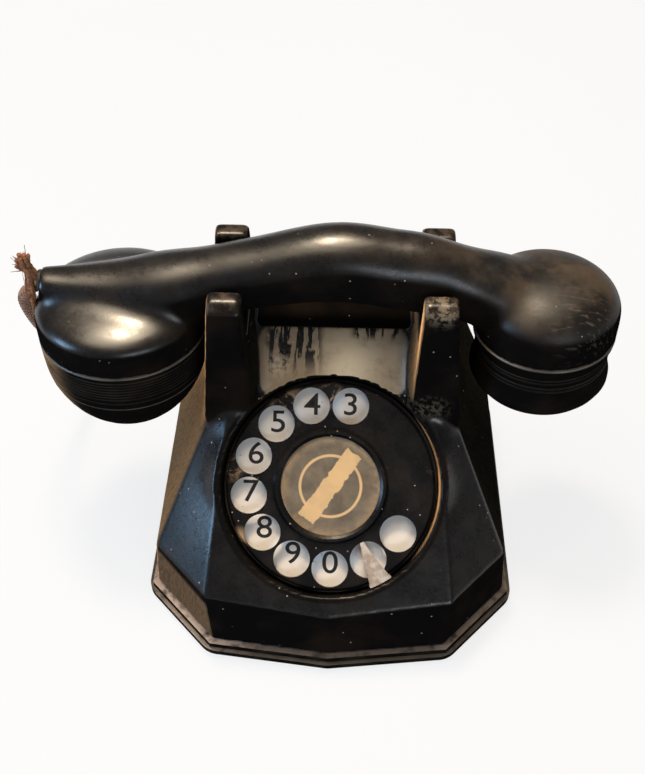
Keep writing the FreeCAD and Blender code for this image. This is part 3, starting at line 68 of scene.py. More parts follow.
def setCamera():
    lens = bpy.data.cameras.new("viewCamera")
    lens.sensor_width = 36.0
    lens.lens = camera["lens"]
    lens.clip_start = 0.01
    holder = bpy.data.objects.new("viewCamera", lens)
    turn = Matrix((camera["right"], camera["up"], camera["back"])).transposed().to_4x4()
    holder.matrix_world = Matrix.Translation(camera["place"]) @ turn
    scene.collection.objects.link(holder)
    scene.camera = holder


# a broad warm lamp overhead with a small bright one in it, a cool window on the left and a low fill
lamps = {
    "ceiling": {"at": (-0.18, 0.08, 1.13), "size": (0.85, 0.70), "watts": 8.0, "tint": (1.0, 0.83, 0.62)},
    "bulb": {"at": (-0.13, 0.24, 1.05), "size": (0.16, 0.16), "watts": 6.2, "tint": (1.0, 0.80, 0.57)},
    "leftWindow": {"at": (-1.0, -0.30, 0.42), "size": (0.36, 0.44), "watts": 5.0, "tint": (0.40, 0.67, 1.0)},
    "front": {"at": (0.55, -1.25, 0.55), "size": (0.8, 0.4), "watts": 5.0, "tint": (0.84, 0.92, 1.0)},
}
worldTone = (0.085, 0.085, 0.09, 1)


def setLamps():
    for name, lamp in lamps.items():
        light = bpy.data.lights.new(name, "AREA")
        light.shape = "RECTANGLE"
        light.size, light.size_y = lamp["size"]
        light.energy = lamp["watts"]
        light.color = lamp["tint"]
        holder = bpy.data.objects.new(name, light)
        holder.location = lamp["at"]
        aim = Vector((0, 0, 0.06)) - Vector(lamp["at"])
        holder.rotation_euler = aim.to_track_quat("-Z", "Y").to_euler()
        scene.collection.objects.link(holder)
    world = bpy.data.worlds.new("studio")
    scene.world = world
    world.use_nodes = True
    world.node_tree.nodes["Background"].inputs["Color"].default_value = worldTone


# small helpers for building materials from nodes
def put(tree, kind, inputs=None, **settings):
    item = tree.nodes.new(kind)
    for key, value in settings.items():
        setattr(item, key, value)
    for key, value in (inputs or {}).items():
        if isinstance(value, bpy.types.NodeSocket):
            tree.links.new(value, item.inputs[key])
        else:
            item.inputs[key].default_value = value
    return item


def calc(tree, kind, a, b=0.0, c=0.0):
    return put(tree, "ShaderNodeMath", {0: a, 1: b, 2: c}, operation=kind).outputs[0]


def both(tree, a, b):
    return calc(tree, "MULTIPLY", a, b)


def either(tree, a, b):
    return calc(tree, "MAXIMUM", a, b)


def ramp(tree, value, low, high, start=0.0, end=1.0):
    item = put(tree, "ShaderNodeMapRange", {0: value, 1: low, 2: high, 3: start, 4: end})
    item.interpolation_type = "SMOOTHSTEP"
    return item.outputs[0]


def blendColour(tree, share, a, b):
    item = put(tree, "ShaderNodeMix", data_type="RGBA")
    for key, value in ((0, share), (6, a), (7, b)):
        if isinstance(value, bpy.types.NodeSocket):
            tree.links.new(value, item.inputs[key])
        else:
            item.inputs[key].default_value = value if key == 0 else (*value, 1)
    return item.outputs[2]


def noise(tree, where, scale, detail=4.0, rough=0.55, twist=0.0):
    inputs = {"Vector": where, "Scale": scale, "Detail": detail, "Roughness": rough, "Distortion": twist}
    return put(tree, "ShaderNodeTexNoise", inputs).outputs["Fac"]


def stretched(tree, where, scale, turn=(0, 0, 0)):
    inputs = {"Vector": where, "Scale": scale, "Rotation": turn}
    return put(tree, "ShaderNodeMapping", inputs).outputs[0]


def apart(tree, where, centre):
    return put(tree, "ShaderNodeVectorMath", {0: where, 1: centre}, operation="DISTANCE").outputs["Value"]


def spot(tree, where, centre, radius, soft):
    return ramp(tree, apart(tree, where, centre), radius + soft, radius - soft)


def specks(tree, where, scale, size):
    cells = put(tree, "ShaderNodeTexVoronoi", {"Vector": where, "Scale": scale})
    small = ramp(tree, cells.outputs["Distance"], size, size * 0.6)
    rare = put(tree, "ShaderNodeSeparateColor", {0: cells.outputs["Color"]}).outputs[0]
    return both(tree, small, ramp(tree, rare, 0.84, 0.88))


def startMaterial(name):
    paint = bpy.data.materials.new(name)
    paint.use_nodes = True
    tree = paint.node_tree
    where = put(tree, "ShaderNodeTexCoord").outputs["Object"]
    return paint, tree, tree.nodes["Principled BSDF"], where


def relief(tree, shader, height, distance, strength=1.0):
    bump = put(tree, "ShaderNodeBump", {"Height": height, "Distance": distance, "Strength": strength})
    tree.links.new(bump.outputs[0], shader.inputs["Normal"])


def wear(tree, shader, colour, roughness):
    tree.links.new(colour, shader.inputs["Base Color"])
    tree.links.new(roughness, shader.inputs["Roughness"])


# the black moulding, its dust and its scuffs
moulding = {
    "black": (0.0052, 0.0048, 0.0048),
    "brown": (0.013, 0.0095, 0.0075),
    "dust": (0.26, 0.185, 0.11),
    "pale": (0.62, 0.56, 0.48),
    "shine": (0.0, 0.62), "topShine": (0.0, 0.55),
    "gloss": (0.24, 0.36),
    "bloom": (1.0, 0.63, 0.33), "bloomSpread": 0.38,
}


def setShine(tree, shader, cover=0.0):
    # upright faces are duller than those that face up, and so is what lies under the cover mask, which holds
    # dirt and also places dulled as painted shade, such as the deck under the grip
    up = facing(tree, "Z")
    shine = ramp(tree, up, 0.34, 0.64, *moulding["shine"])
    shine = calc(tree, "ADD", shine, ramp(tree, up, 0.86, 0.97, *moulding["topShine"]))
    tree.links.new(both(tree, shine, bare(tree, cover)), shader.inputs["Specular IOR Level"])


def setBloom(tree, shader, share):
    # fine dust: little from straight ahead, pale along the face
    tree.links.new(share, shader.inputs["Sheen Weight"])
    shader.inputs["Sheen Roughness"].default_value = moulding["bloomSpread"]
    shader.inputs["Sheen Tint"].default_value = (*moulding["bloom"], 1)


def startMoulding(name):
    paint, tree, shader, where = startMaterial(name)
    setShine(tree, shader)
    return paint, tree, shader, where


def edges(tree):
    # the outer edges of an even mesh, for rubbed wear and a painted highlight along them
    return ramp(tree, put(tree, "ShaderNodeNewGeometry").outputs["Pointiness"], 0.53, 0.60)


def blackBase(tree, where):
    cloudy = ramp(tree, noise(tree, where, 45.0, 5.0), 0.42, 0.72)
    return blendColour(tree, cloudy, moulding["black"], moulding["brown"])


def smudged(tree, where, low, high):
    patches = ramp(tree, noise(tree, where, 70.0, 6.0, 0.65, 0.4), 0.3, 0.75, low, high)
    fine = ramp(tree, noise(tree, where, 900.0, 3.0), 0.3, 0.7, -0.03, 0.03)
    return calc(tree, "ADD", patches, fine)


def within(tree, value, low, high, soft):
    return both(tree, ramp(tree, value, low - soft, low + soft), ramp(tree, value, high + soft, high - soft))


def bare(tree, share):
    return calc(tree, "SUBTRACT", 1.0, share)


def facing(tree, axis):
    parts = put(tree, "ShaderNodeSeparateXYZ", {0: put(tree, "ShaderNodeTexCoord").outputs["Normal"]})
    return parts.outputs[axis]


def place(tree, where, axis):
    return put(tree, "ShaderNodeSeparateXYZ", {0: where}).outputs[axis]


# where the handset is worn: the film's ends along it, and the rubbed spot on the earpiece end
handsetWear = {
    "filmFrom": -0.02, "filmTo": 0.085, "filmTone": (0.16, 0.115, 0.075), "dull": (0.045, 0.075),
    "rubbed": (0.086, -0.009, 0.120), "rubbedRadius": 0.011, "rubbedSoft": 0.009,
}


def handsetPaint():
    paint, tree, shader, where = startMoulding("handsetMoulding")
    form = handsetWear
    colour = blackBase(tree, where)
    up = facing(tree, "Z")
    x = place(tree, where, "X")
    grain = noise(tree, where, 60.0, 6.0, 0.6)
    # a thin brown film on top, thickest on the earpiece end
    film = both(tree, ramp(tree, up, 0.45, 0.98), ramp(tree, grain, 0.36, 0.68))
    film = both(tree, film, ramp(tree, x, form["filmFrom"], form["filmTo"], 0.05, 0.42))
    colour = blendColour(tree, film, colour, form["filmTone"])
    dull = ramp(tree, x, *form["dull"])
    # slanted rubs and a dull patch on the earpiece end
    strokes = noise(tree, stretched(tree, where, (150.0, 1100.0, 500.0), (0, 0, -0.7)), 1.0, 3.0)
    patch = spot(tree, where, form["rubbed"], form["rubbedRadius"], form["rubbedSoft"])
    rubs = both(tree, ramp(tree, strokes, 0.55, 0.66), patch)
    colour = blendColour(tree, both(tree, rubs, 0.08), colour, moulding["pale"])
    dots = both(tree, specks(tree, where, 330.0, 0.13), ramp(tree, x, -0.06, 0.06, 0.2, 0.55))
    colour = blendColour(tree, dots, colour, moulding["pale"])
    rough = calc(tree, "ADD", smudged(tree, where, 0.26, 0.37), both(tree, dull, 0.17))
    rough = calc(tree, "ADD", rough, both(tree, either(tree, rubs, film), 0.2))
    setShine(tree, shader, both(tree, dull, 0.45))
    wear(tree, shader, colour, rough)
    relief(tree, shader, noise(tree, where, 420.0, 5.0, 0.6), 0.00005, 0.4)
    return paint


def capPaint():
    paint, tree, shader, where = startMoulding("capMoulding")
    colour = blackBase(tree, where)
    left = facing(tree, "X")
    dusty = both(tree, ramp(tree, left, -0.45, -0.85), ramp(tree, noise(tree, where, 120.0, 6.0), 0.2, 0.5))
    streaks = noise(tree, stretched(tree, where, (30.0, 30.0, 1500.0)), 1.0, 3.0)
    dusty = both(tree, dusty, ramp(tree, streaks, 0.25, 0.7, 0.5, 1.0))
    dusty = both(tree, dusty, ramp(tree, place(tree, where, "X"), -0.02, -0.06))
    colour = blendColour(tree, both(tree, dusty, 0.6), colour, (0.17, 0.12, 0.075))
    setBloom(tree, shader, dusty)
    lines = put(tree, "ShaderNodeAttribute", attribute_name="dust").outputs["Fac"]
    lines = both(tree, lines, ramp(tree, noise(tree, where, 90.0, 5.0), 0.25, 0.6, 0.35, 1.0))
    colour = blendColour(tree, lines, colour, (0.36, 0.29, 0.22))
    rough = calc(tree, "ADD", smudged(tree, where, 0.26, 0.38), both(tree, either(tree, dusty, lines), 0.3))
    wear(tree, shader, colour, rough)
    relief(tree, shader, noise(tree, where, 500.0, 5.0, 0.6), 0.00005, 0.4)
    return paint


# the dial plane, its ring of holes and the first hole's angle
dial = {
    "centre": (0.0, -0.03363, 0.0559), "tilt": math.radians(38.6), "rim": 0.0385,
    "first": 76.9, "step": 27.69,
}


# where the housing is worn, with a painted highlight on the saddle and a deck dulled as painted shade: spots
# in metres, in the part's frame
housingWear = {
    "saddleHalf": 0.0265, "saddleLow": 0.0785, "deck": (0.0925, 0.0965),
    "drips": {"from": -0.0245, "to": -0.0045, "down": 0.0845},
    "shortDrips": {"from": 0.007, "to": 0.026, "down": 0.0912},
    "flakes": (-0.0203, 0.001, 0.0832), "prongTop": (0.0368, -0.0092, 0.1272),
    "prongFoot": (0.0358, -0.0069, 0.0772), "chipTone": (0.60, 0.48, 0.34), "edgeWearAndHighlightTone": (0.34, 0.31, 0.29),
    "bright": (0.0046, 0.0016, 0.0840), "ridge": (-0.0448, -0.0413, 0.0498),
    "prongTops": (0.1245, 0.1265), "topTone": (0.20, 0.15, 0.105), "rightTone": (0.020, 0.020, 0.014),
    "film": (0.44, 0.325, 0.205), "paintedFilmHighlight": (0.98, 0.79, 0.53),
    "sideDust": (0.17, 0.115, 0.067), "skirtDust": (0.075, 0.060, 0.045),
}


def fromDial(tree, where):
    return apart(tree, where, dial["centre"])


def housingPaint():
    paint, tree, shader, where = startMoulding("housingMoulding")
    form = housingWear
    colour = blackBase(tree, where)
    x, y, z = (place(tree, where, axis) for axis in "XYZ")
    grain = noise(tree, where, 140.0, 8.0, 0.65)
    left, front, up = (facing(tree, axis) for axis in "XYZ")
    # the saddle between the prongs: a bronze film with black drips that run down the slope
    slope = within(tree, up, 0.55, 0.93, 0.04)
    across = ramp(tree, calc(tree, "ABSOLUTE", x), form["saddleHalf"] + 0.004, form["saddleHalf"] - 0.004)
    above = ramp(tree, z, form["saddleLow"] - 0.006, form["saddleLow"] + 0.002)
    saddle = both(tree, both(tree, both(tree, across, slope), above), ramp(tree, front, -0.2, -0.4))
    streak = noise(tree, stretched(tree, where, (420.0, 70.0, 70.0)), 1.0, 6.0, 0.65, 0.5)
    runs = both(tree, within(tree, x, form["drips"]["from"], form["drips"]["to"], 0.002),
                ramp(tree, z, form["drips"]["down"] - 0.003, form["drips"]["down"] + 0.004))
    short = both(tree, within(tree, x, form["shortDrips"]["from"], form["shortDrips"]["to"], 0.002),
                 ramp(tree, z, form["shortDrips"]["down"], form["shortDrips"]["down"] + 0.002))
    drips = both(tree, ramp(tree, streak, 0.48, 0.50), either(tree, runs, short))
    film = both(tree, saddle, bare(tree, drips))
    film = both(tree, film, ramp(tree, grain, 0.22, 0.55, 0.5, 1.0))
    colour = blendColour(tree, both(tree, film, 0.85), colour, form["film"])
    # painted highlight: the film is lightened in a round spot in the middle of the saddle
    light = both(tree, film, spot(tree, where, form["bright"], 0.0085, 0.0085))
    colour = blendColour(tree, both(tree, light, 0.9), colour, form["paintedFilmHighlight"])
    # flakes in the saddle, wear on the right prong's top and foot, and rubbed edges that also carry a
    # painted highlight
    chips = ramp(tree, noise(tree, where, 600.0, 5.0), 0.46, 0.52)
    chips = both(tree, spot(tree, where, form["flakes"], 0.0045, 0.003), chips)
    worn = ramp(tree, noise(tree, where, 420.0, 6.0, 0.7), 0.47, 0.55)
    worn = both(tree, spot(tree, where, form["prongTop"], 0.006, 0.004), worn)
    foot = ramp(tree, noise(tree, where, 500.0, 6.0, 0.7), 0.46, 0.58)
    foot = both(tree, spot(tree, where, form["prongFoot"], 0.007, 0.005), foot)
    marks = either(tree, chips, either(tree, both(tree, worn, 0.32), both(tree, foot, 0.3)))
    colour = blendColour(tree, marks, colour, form["chipTone"])
    # rubbed wear and a painted highlight: every convex edge is lightened a little
    rubbed = both(tree, edges(tree), ramp(tree, grain, 0.35, 0.6, 0.1, 0.35))
    colour = blendColour(tree, rubbed, colour, form["edgeWearAndHighlightTone"])
    # painted shade: the deck under the grip loses its shine, so it stays dark as in the grip's shade; and
    # the left facet shines beside its ridge
    deck = both(tree, ramp(tree, up, 0.95, 0.98), within(tree, z, *form["deck"], 0.0005))
    facet = both(tree, within(tree, left, -0.80, -0.30, 0.05), ramp(tree, z, 0.082, 0.076))
    facet = both(tree, facet, bare(tree, spot(tree, where, form["ridge"], 0.011, 0.013)))
    cover = either(tree, deck, both(tree, facet, 0.55))
    cover = either(tree, cover, ramp(tree, z, 0.1225, 0.1245, 0.0, 0.55))
    cover = either(tree, cover, ramp(tree, calc(tree, "ABSOLUTE", left), 0.74, 0.86))
    rim = within(tree, fromDial(tree, where), dial["rim"] - 0.0012, dial["rim"] + 0.0042, 0.0005)
    setShine(tree, shader, either(tree, cover, both(tree, rim, 0.8)))
    # thin brown wear on the prongs' tops
    tops = ramp(tree, noise(tree, where, 260.0, 6.0), 0.4, 0.65)
    tops = both(tree, ramp(tree, z, *form["prongTops"]), tops)
    colour = blendColour(tree, both(tree, tops, 0.3), colour, form["topTone"])
    # coarse dust on the left side, and a thin coat on the skirt beside it
    weave = noise(tree, stretched(tree, where, (900.0, 900.0, 260.0), (0.5, 0, 0)), 1.0, 4.0)
    side = both(tree, ramp(tree, left, -0.74, -0.88), ramp(tree, weave, 0.3, 0.62, 0.65, 1.0))
    skirt = both(tree, ramp(tree, z, 0.030, 0.026), ramp(tree, up, 0.3, 0.15))
    skirt = both(tree, within(tree, left, -0.80, -0.45, 0.04), skirt)
    skirt = both(tree, skirt, ramp(tree, weave, 0.25, 0.65, 0.5, 1.0))
    colour = blendColour(tree, both(tree, side, 0.5), colour, form["sideDust"])
    colour = blendColour(tree, both(tree, skirt, 0.6), colour, form["skirtDust"])
    setBloom(tree, shader, either(tree, side, both(tree, skirt, 0.5)))
    right = both(tree, ramp(tree, left, 0.74, 0.88), ramp(tree, weave, 0.3, 0.7, 0.1, 0.5))
    colour = blendColour(tree, right, colour, form["rightTone"])
    dots = both(tree, specks(tree, where, 340.0, 0.13), 0.55)
    colour = blendColour(tree, dots, colour, moulding["pale"])
    rough = calc(tree, "ADD", smudged(tree, where, *moulding["gloss"]), both(tree, film, 0.16))
    rough = calc(tree, "ADD", rough, both(tree, either(tree, side, skirt), 0.40))
    wear(tree, shader, colour, rough)
    # small pits in the left facet
    pits = ramp(tree, noise(tree, where, 620.0, 4.0), 0.58, 0.66)
    pits = both(tree, pits, within(tree, left, -0.75, -0.3, 0.05))
    height = calc(tree, "ADD", noise(tree, where, 380.0, 6.0, 0.6), both(tree, film, 0.5))
    height = calc(tree, "SUBTRACT", height, both(tree, pits, 1.5))
    relief(tree, shader, height, 0.00009, 0.5)
    return paint


def footPaint():
    paint, tree, shader, where = startMoulding("footEnamel")
    cloudy = ramp(tree, noise(tree, where, 90.0, 6.0), 0.35, 0.7)
    colour = blendColour(tree, cloudy, (0.006, 0.0055, 0.005), (0.020, 0.016, 0.013))
    # pale dust on the ledges, most of it on the left
    ledge = ramp(tree, noise(tree, where, 260.0, 6.0), 0.3, 0.55)
    ledge = both(tree, ramp(tree, facing(tree, "Z"), 0.5, 0.9), ledge)
    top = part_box("base_plate")[1][2]
    ledge = both(tree, ledge, ramp(tree, place(tree, where, "Z"), top - 0.002, top - 0.001, 0.25, 1.0))
    x = place(tree, where, "X")
    most = ramp(tree, x, -0.02, -0.045, 0.18, 0.95)
    ledge = both(tree, ledge, either(tree, most, ramp(tree, x, 0.03, 0.05, 0.0, 0.5)))
    colour = blendColour(tree, ledge, colour, (0.66, 0.49, 0.39))
    wear(tree, shader, colour, smudged(tree, where, 0.32, 0.5))
    relief(tree, shader, noise(tree, where, 300.0, 6.0), 0.0001, 0.5)
    return paint


# dirt on the wheel, by the holes that it gathers between
dialDirt = {"spots": [((-0.0157, -0.0110, 0.0740), 0.0048), ((-0.0004, -0.0078, 0.0765), 0.0034),
                      ((-0.0362, -0.0290, 0.0596), 0.0034), ((-0.0330, -0.0490, 0.0437), 0.0028)],
            "tone": (0.40, 0.27, 0.155)}


def dialPaint():
    paint, tree, shader, where = startMoulding("dialEnamel")
    cloudy = ramp(tree, noise(tree, where, 80.0, 6.0), 0.4, 0.7)
    colour = blendColour(tree, cloudy, (0.0055, 0.0055, 0.006), (0.014, 0.011, 0.010))
    dirt = ramp(tree, noise(tree, where, 150.0, 8.0, 0.7, 0.8), 0.45, 0.55)
    dirty = None
    for centre, reach in dialDirt["spots"]:
        here = spot(tree, where, centre, reach, reach * 0.8)
        dirty = here if dirty is None else either(tree, dirty, here)
    dirty = both(tree, dirt, dirty)
    colour = blendColour(tree, dirty, colour, dialDirt["tone"])
    thin = both(tree, ramp(tree, noise(tree, where, 190.0, 8.0, 0.7), 0.6, 0.72), 0.10)
    colour = blendColour(tree, thin, colour, (0.24, 0.17, 0.10))
    dots = both(tree, specks(tree, where, 420.0, 0.14), 0.7)
    colour = blendColour(tree, dots, colour, moulding["pale"])
    rough = calc(tree, "ADD", smudged(tree, where, 0.22, 0.36), both(tree, dirty, 0.4))
    edge = dial["rim"] - 0.0012
    setShine(tree, shader, ramp(tree, fromDial(tree, where), edge - 0.0004, edge + 0.0004, 0.35, 0.85))
    wear(tree, shader, colour, rough)
    relief(tree, shader, calc(tree, "ADD", noise(tree, where, 500.0, 5.0), dirty), 0.00008, 0.5)
    return paint


def platePaint():
    paint, tree, shader, where = startMaterial("plateEnamel")
    stain = ramp(tree, noise(tree, where, 110.0, 7.0, 0.65), 0.45, 0.8)
    colour = blendColour(tree, stain, (0.95, 0.91, 0.87), (0.82, 0.72, 0.61))
    flecks = both(tree, ramp(tree, noise(tree, where, 420.0, 5.0), 0.67, 0.72), 0.55)
    colour = blendColour(tree, flecks, colour, (0.20, 0.14, 0.09))
    # painted shade: the plate is darkened beyond the holes, where it lies under the wheel's rim and in the
    # gap beside it
    edge = ramp(tree, fromDial(tree, where), 0.0376, 0.0381)
    colour = blendColour(tree, edge, colour, (0.016, 0.013, 0.011))
    wear(tree, shader, colour, smudged(tree, where, 0.35, 0.5))
    relief(tree, shader, noise(tree, where, 300.0, 4.0), 0.00005, 0.4)
    return paint


def numeralPaint():
    paint, tree, shader, where = startMaterial("numeralEnamel")
    worn = ramp(tree, noise(tree, where, 700.0, 4.0), 0.45, 0.75)
    colour = blendColour(tree, worn, (0.010, 0.010, 0.011), (0.030, 0.028, 0.028))
    wear(tree, shader, colour, smudged(tree, where, 0.4, 0.55))
    return paint


# the card in the middle: a plain ring and a worn slanting band on a brown ground
cardForm = {"ring": 0.0112, "line": 0.0005, "bandHalf": 0.0033, "bandLong": 0.0148,
            "tan": (0.84, 0.56, 0.27)}


def cardPaint():
    paint, tree, shader, where = startMaterial("agedCard")
    cloudy = ramp(tree, noise(tree, where, 150.0, 8.0, 0.65), 0.3, 0.7)
    colour = blendColour(tree, cloudy, (0.085, 0.064, 0.045), (0.185, 0.138, 0.092))
    gap = fromDial(tree, where)
    rim = both(tree, ramp(tree, gap, 0.0140, 0.0185), ramp(tree, noise(tree, where, 260.0, 6.0), 0.3, 0.6))
    colour = blendColour(tree, rim, colour, (0.36, 0.25, 0.14))
    half = cardForm["line"]
    line = within(tree, gap, cardForm["ring"] - half, cardForm["ring"] + half, 0.0002)
    flat = stretched(tree, put(tree, "ShaderNodeVectorMath", {0: where, 1: dial["centre"]},
                               operation="SUBTRACT").outputs[0], (1, 1, 1), (-dial["tilt"], 0, 0))
    turned = stretched(tree, flat, (1, 1, 1), (0, 0, -0.95))
    ragged = ramp(tree, noise(tree, where, 420.0, 4.0), 0.3, 0.7, -0.0004, 0.0004)
    bandX = calc(tree, "ADD", calc(tree, "ABSOLUTE", place(tree, turned, "X")), ragged)
    bandY = calc(tree, "ADD", calc(tree, "ABSOLUTE", place(tree, turned, "Y")), ragged)
    band = both(tree, ramp(tree, bandX, cardForm["bandLong"] + 0.0002, cardForm["bandLong"] - 0.0002),
                ramp(tree, bandY, cardForm["bandHalf"] + 0.0002, cardForm["bandHalf"] - 0.0002))
    colour = blendColour(tree, both(tree, either(tree, band, line), 0.88), colour, cardForm["tan"])
    wear(tree, shader, colour, smudged(tree, where, 0.45, 0.65))
    relief(tree, shader, noise(tree, where, 600.0, 5.0), 0.00006, 0.5)
    return paint


def windowPaint():
    paint, tree, shader, where = startMaterial("clearWindow")
    haze = ramp(tree, noise(tree, where, 180.0, 6.0), 0.3, 0.8, 0.03, 0.12)
    shader.inputs["Base Color"].default_value = (0.75, 0.68, 0.55, 1)
    tree.links.new(haze, shader.inputs["Alpha"])
    tree.links.new(smudged(tree, where, 0.16, 0.30), shader.inputs["Roughness"])
    return paint


def metalPaint(name, dark, bright, low, high, scale, metallic=1.0):
    paint, tree, shader, where = startMaterial(name)
    cloudy = ramp(tree, noise(tree, where, scale, 7.0, 0.65), 0.32, 0.68)
    colour = blendColour(tree, cloudy, dark, bright)
    shader.inputs["Metallic"].default_value = metallic
    wear(tree, shader, colour, smudged(tree, where, low, high))
    relief(tree, shader, noise(tree, where, scale * 6, 5.0), 0.00006, 0.5)
    return paint


def plainPaint(name, dark, bright, low, high, scale):
    return metalPaint(name, dark, bright, low, high, scale, 0.0)


def braidPaint():
    paint, tree, shader, where = startMaterial("clothBraid")
    turn = put(tree, "ShaderNodeAttribute", attribute_name="around").outputs["Fac"]
    run = put(tree, "ShaderNodeAttribute", attribute_name="along").outputs["Fac"]
    one = calc(tree, "SINE", calc(tree, "ADD", both(tree, turn, 5.0), both(tree, run, 2600.0)))
    two = calc(tree, "SINE", calc(tree, "SUBTRACT", both(tree, turn, 5.0), both(tree, run, 2600.0)))
    woven = either(tree, one, two)
    colour = blendColour(tree, ramp(tree, woven, -0.2, 1.0), (0.055, 0.024, 0.011), (0.30, 0.115, 0.045))
    tuft = ramp(tree, noise(tree, where, 500.0, 6.0), 0.35, 0.7)
    colour = blendColour(tree, both(tree, tuft, 0.6), colour, (0.42, 0.20, 0.09))
    shader.inputs["Sheen Weight"].default_value = 0.3
    wear(tree, shader, colour, smudged(tree, where, 0.8, 0.95))
    relief(tree, shader, woven, 0.00025, 0.9)
    return paint


# softened copies of the moulded solids: an even mesh, with its edges and inner corners rounded
def newObject(name, mesh, paint, body):
    piece = bpy.data.objects.new(name, mesh)
    scene.collection.objects.link(piece)
    mesh.materials.clear()
    mesh.materials.append(paint)
    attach(piece, body)
    return piece


def evenMesh(nodeName, voxel):
    draft = bpy.data.objects.new("draft", nodes[nodeName].data.copy())
    scene.collection.objects.link(draft)
    remesh = draft.modifiers.new("even", "REMESH")
    remesh.mode = "VOXEL"
    remesh.voxel_size = voxel
    mesh = bpy.data.meshes.new_from_object(draft.evaluated_get(bpy.context.evaluated_depsgraph_get()))
    bpy.data.objects.remove(draft)
    return mesh


def readPoints(mesh):
    points = np.zeros(len(mesh.vertices) * 3)
    mesh.vertices.foreach_get("co", points)
    return points.reshape(-1, 3)


def relax(mesh, rounds, share, keep=1.0):
    # moves each point towards its neighbours' middle, by its own share
    # moves outward fill the inner corners, and those inward, which blunt the edges, count only by keep
    points = readPoints(mesh)
    ends = np.zeros(len(mesh.edges) * 2, int)
    mesh.edges.foreach_get("vertices", ends)
    ends = ends.reshape(-1, 2)
    count = len(points)
    degree = np.bincount(ends.ravel(), minlength=count)
    share = np.where(share > 0.001, share, 0.0)
    ends = ends[np.max(share[ends], 1) > 0]
    normals = np.zeros(count * 3)
    for step in range(rounds):
        if step % 5 == 0:
            mesh.vertices.foreach_set("co", points.ravel())
            mesh.update()
            mesh.vertices.foreach_get("normal", normals)
        middle = np.zeros_like(points)
        for axis in range(3):
            middle[:, axis] += np.bincount(ends[:, 0], points[ends[:, 1], axis], count)
            middle[:, axis] += np.bincount(ends[:, 1], points[ends[:, 0], axis], count)
        middle /= np.maximum(degree, 1)[:, None]
        move = (middle - points) * (0.5 * share)[:, None]
        inward = np.sum(move * normals.reshape(-1, 3), 1) < 0
        move[inward] *= keep
        points += move
    mesh.vertices.foreach_set("co", points.ravel())
    mesh.polygons.foreach_set("use_smooth", np.ones(len(mesh.polygons), bool))
    mesh.update()


def smoothStep(value, low, high):
    share = np.clip((value - low) / (high - low), 0, 1)
    return share * share * (3 - 2 * share)


# the handset lies rolled forward a little in its cradle, about a line along its middle
roll = {"angle": math.radians(-6.0), "line": (0.0, 0.009, 0.117)}
handsetForm = {
    "voxel": 1.0 * mm, "rounds": 8, "fillRounds": 70, "keep": 0.12,
    "senderSeam": 0.098, "earSeam": 0.1016,
}


def rolled(angle):
    line = Vector(roll["line"])
    return Matrix.Translation(line) @ Matrix.Rotation(angle, 4, "X") @ Matrix.Translation(-line)


def makeHandset():
    mesh = evenMesh("handset_body", handsetForm["voxel"])
    mesh.transform(rolled(-roll["angle"]))
    points = readPoints(mesh)
    x, z = points[:, 0], points[:, 2]
    seam = np.where(x < 0, handsetForm["senderSeam"], handsetForm["earSeam"])
    ends = smoothStep(np.abs(x), 0.030, 0.046)
    share = np.where(ends > 0, smoothStep(z, seam + 0.002, seam + 0.008), 1.0)
    share = np.maximum(share * (0.25 + 0.75 * ends), 0.02)
    relax(mesh, handsetForm["rounds"], share)
    relax(mesh, handsetForm["fillRounds"], share * ends, handsetForm["keep"])
    mesh.transform(rolled(roll["angle"]))
    piece = newObject("handsetShell", mesh, handsetPaint(), "handset")
    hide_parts("handset_body")


housingForm = {
    "voxel": 0.8 * mm, "rounds": 4, "fillRounds": 220, "dialEdge": (0.0412, 0.0440),
    "bore": {"x": 0.0374, "y": 0.009, "low": 0.088, "radius": 0.0048},
    "foot": {"x": (0.018, 0.023, 0.050, 0.057), "y": (-0.046, -0.036, 0.006, 0.012),
             "z": (0.050, 0.058, 0.098, 0.104)},
}


def openBores(mesh):
    # room for the two plungers and their collars
    bore = housingForm["bore"]
    points = readPoints(mesh)
    for side in (-1, 1):
        axis = np.array((side * bore["x"], bore["y"]))
        out = points[:, :2] - axis
        reach = np.linalg.norm(out, axis=1)
        near = (reach < bore["radius"]) & (points[:, 2] > bore["low"])
        points[near, :2] = axis + out[near] / reach[near, None] * bore["radius"]
    mesh.vertices.foreach_set("co", points.ravel())
    mesh.update()


def makeHousing():
    mesh = evenMesh("housing", housingForm["voxel"])
    points = readPoints(mesh)
    share = np.ones(len(points))
    relax(mesh, housingForm["rounds"], share)
    # wide hollows where the front prongs rise out of the saddle and the front
    share *= smoothStep(np.linalg.norm(points - np.array(dial["centre"]), axis=1), *housingForm["dialEdge"])
    for axis, key in enumerate("xyz"):
        low, start, end, high = housingForm["foot"][key]
        value = np.abs(points[:, axis]) if key == "x" else points[:, axis]
        share *= smoothStep(value, low, start) * smoothStep(value, high, end)
    relax(mesh, housingForm["fillRounds"], share, 0.0)
    openBores(mesh)
    piece = newObject("housingShell", mesh, housingPaint(), "base")
    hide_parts("housing")


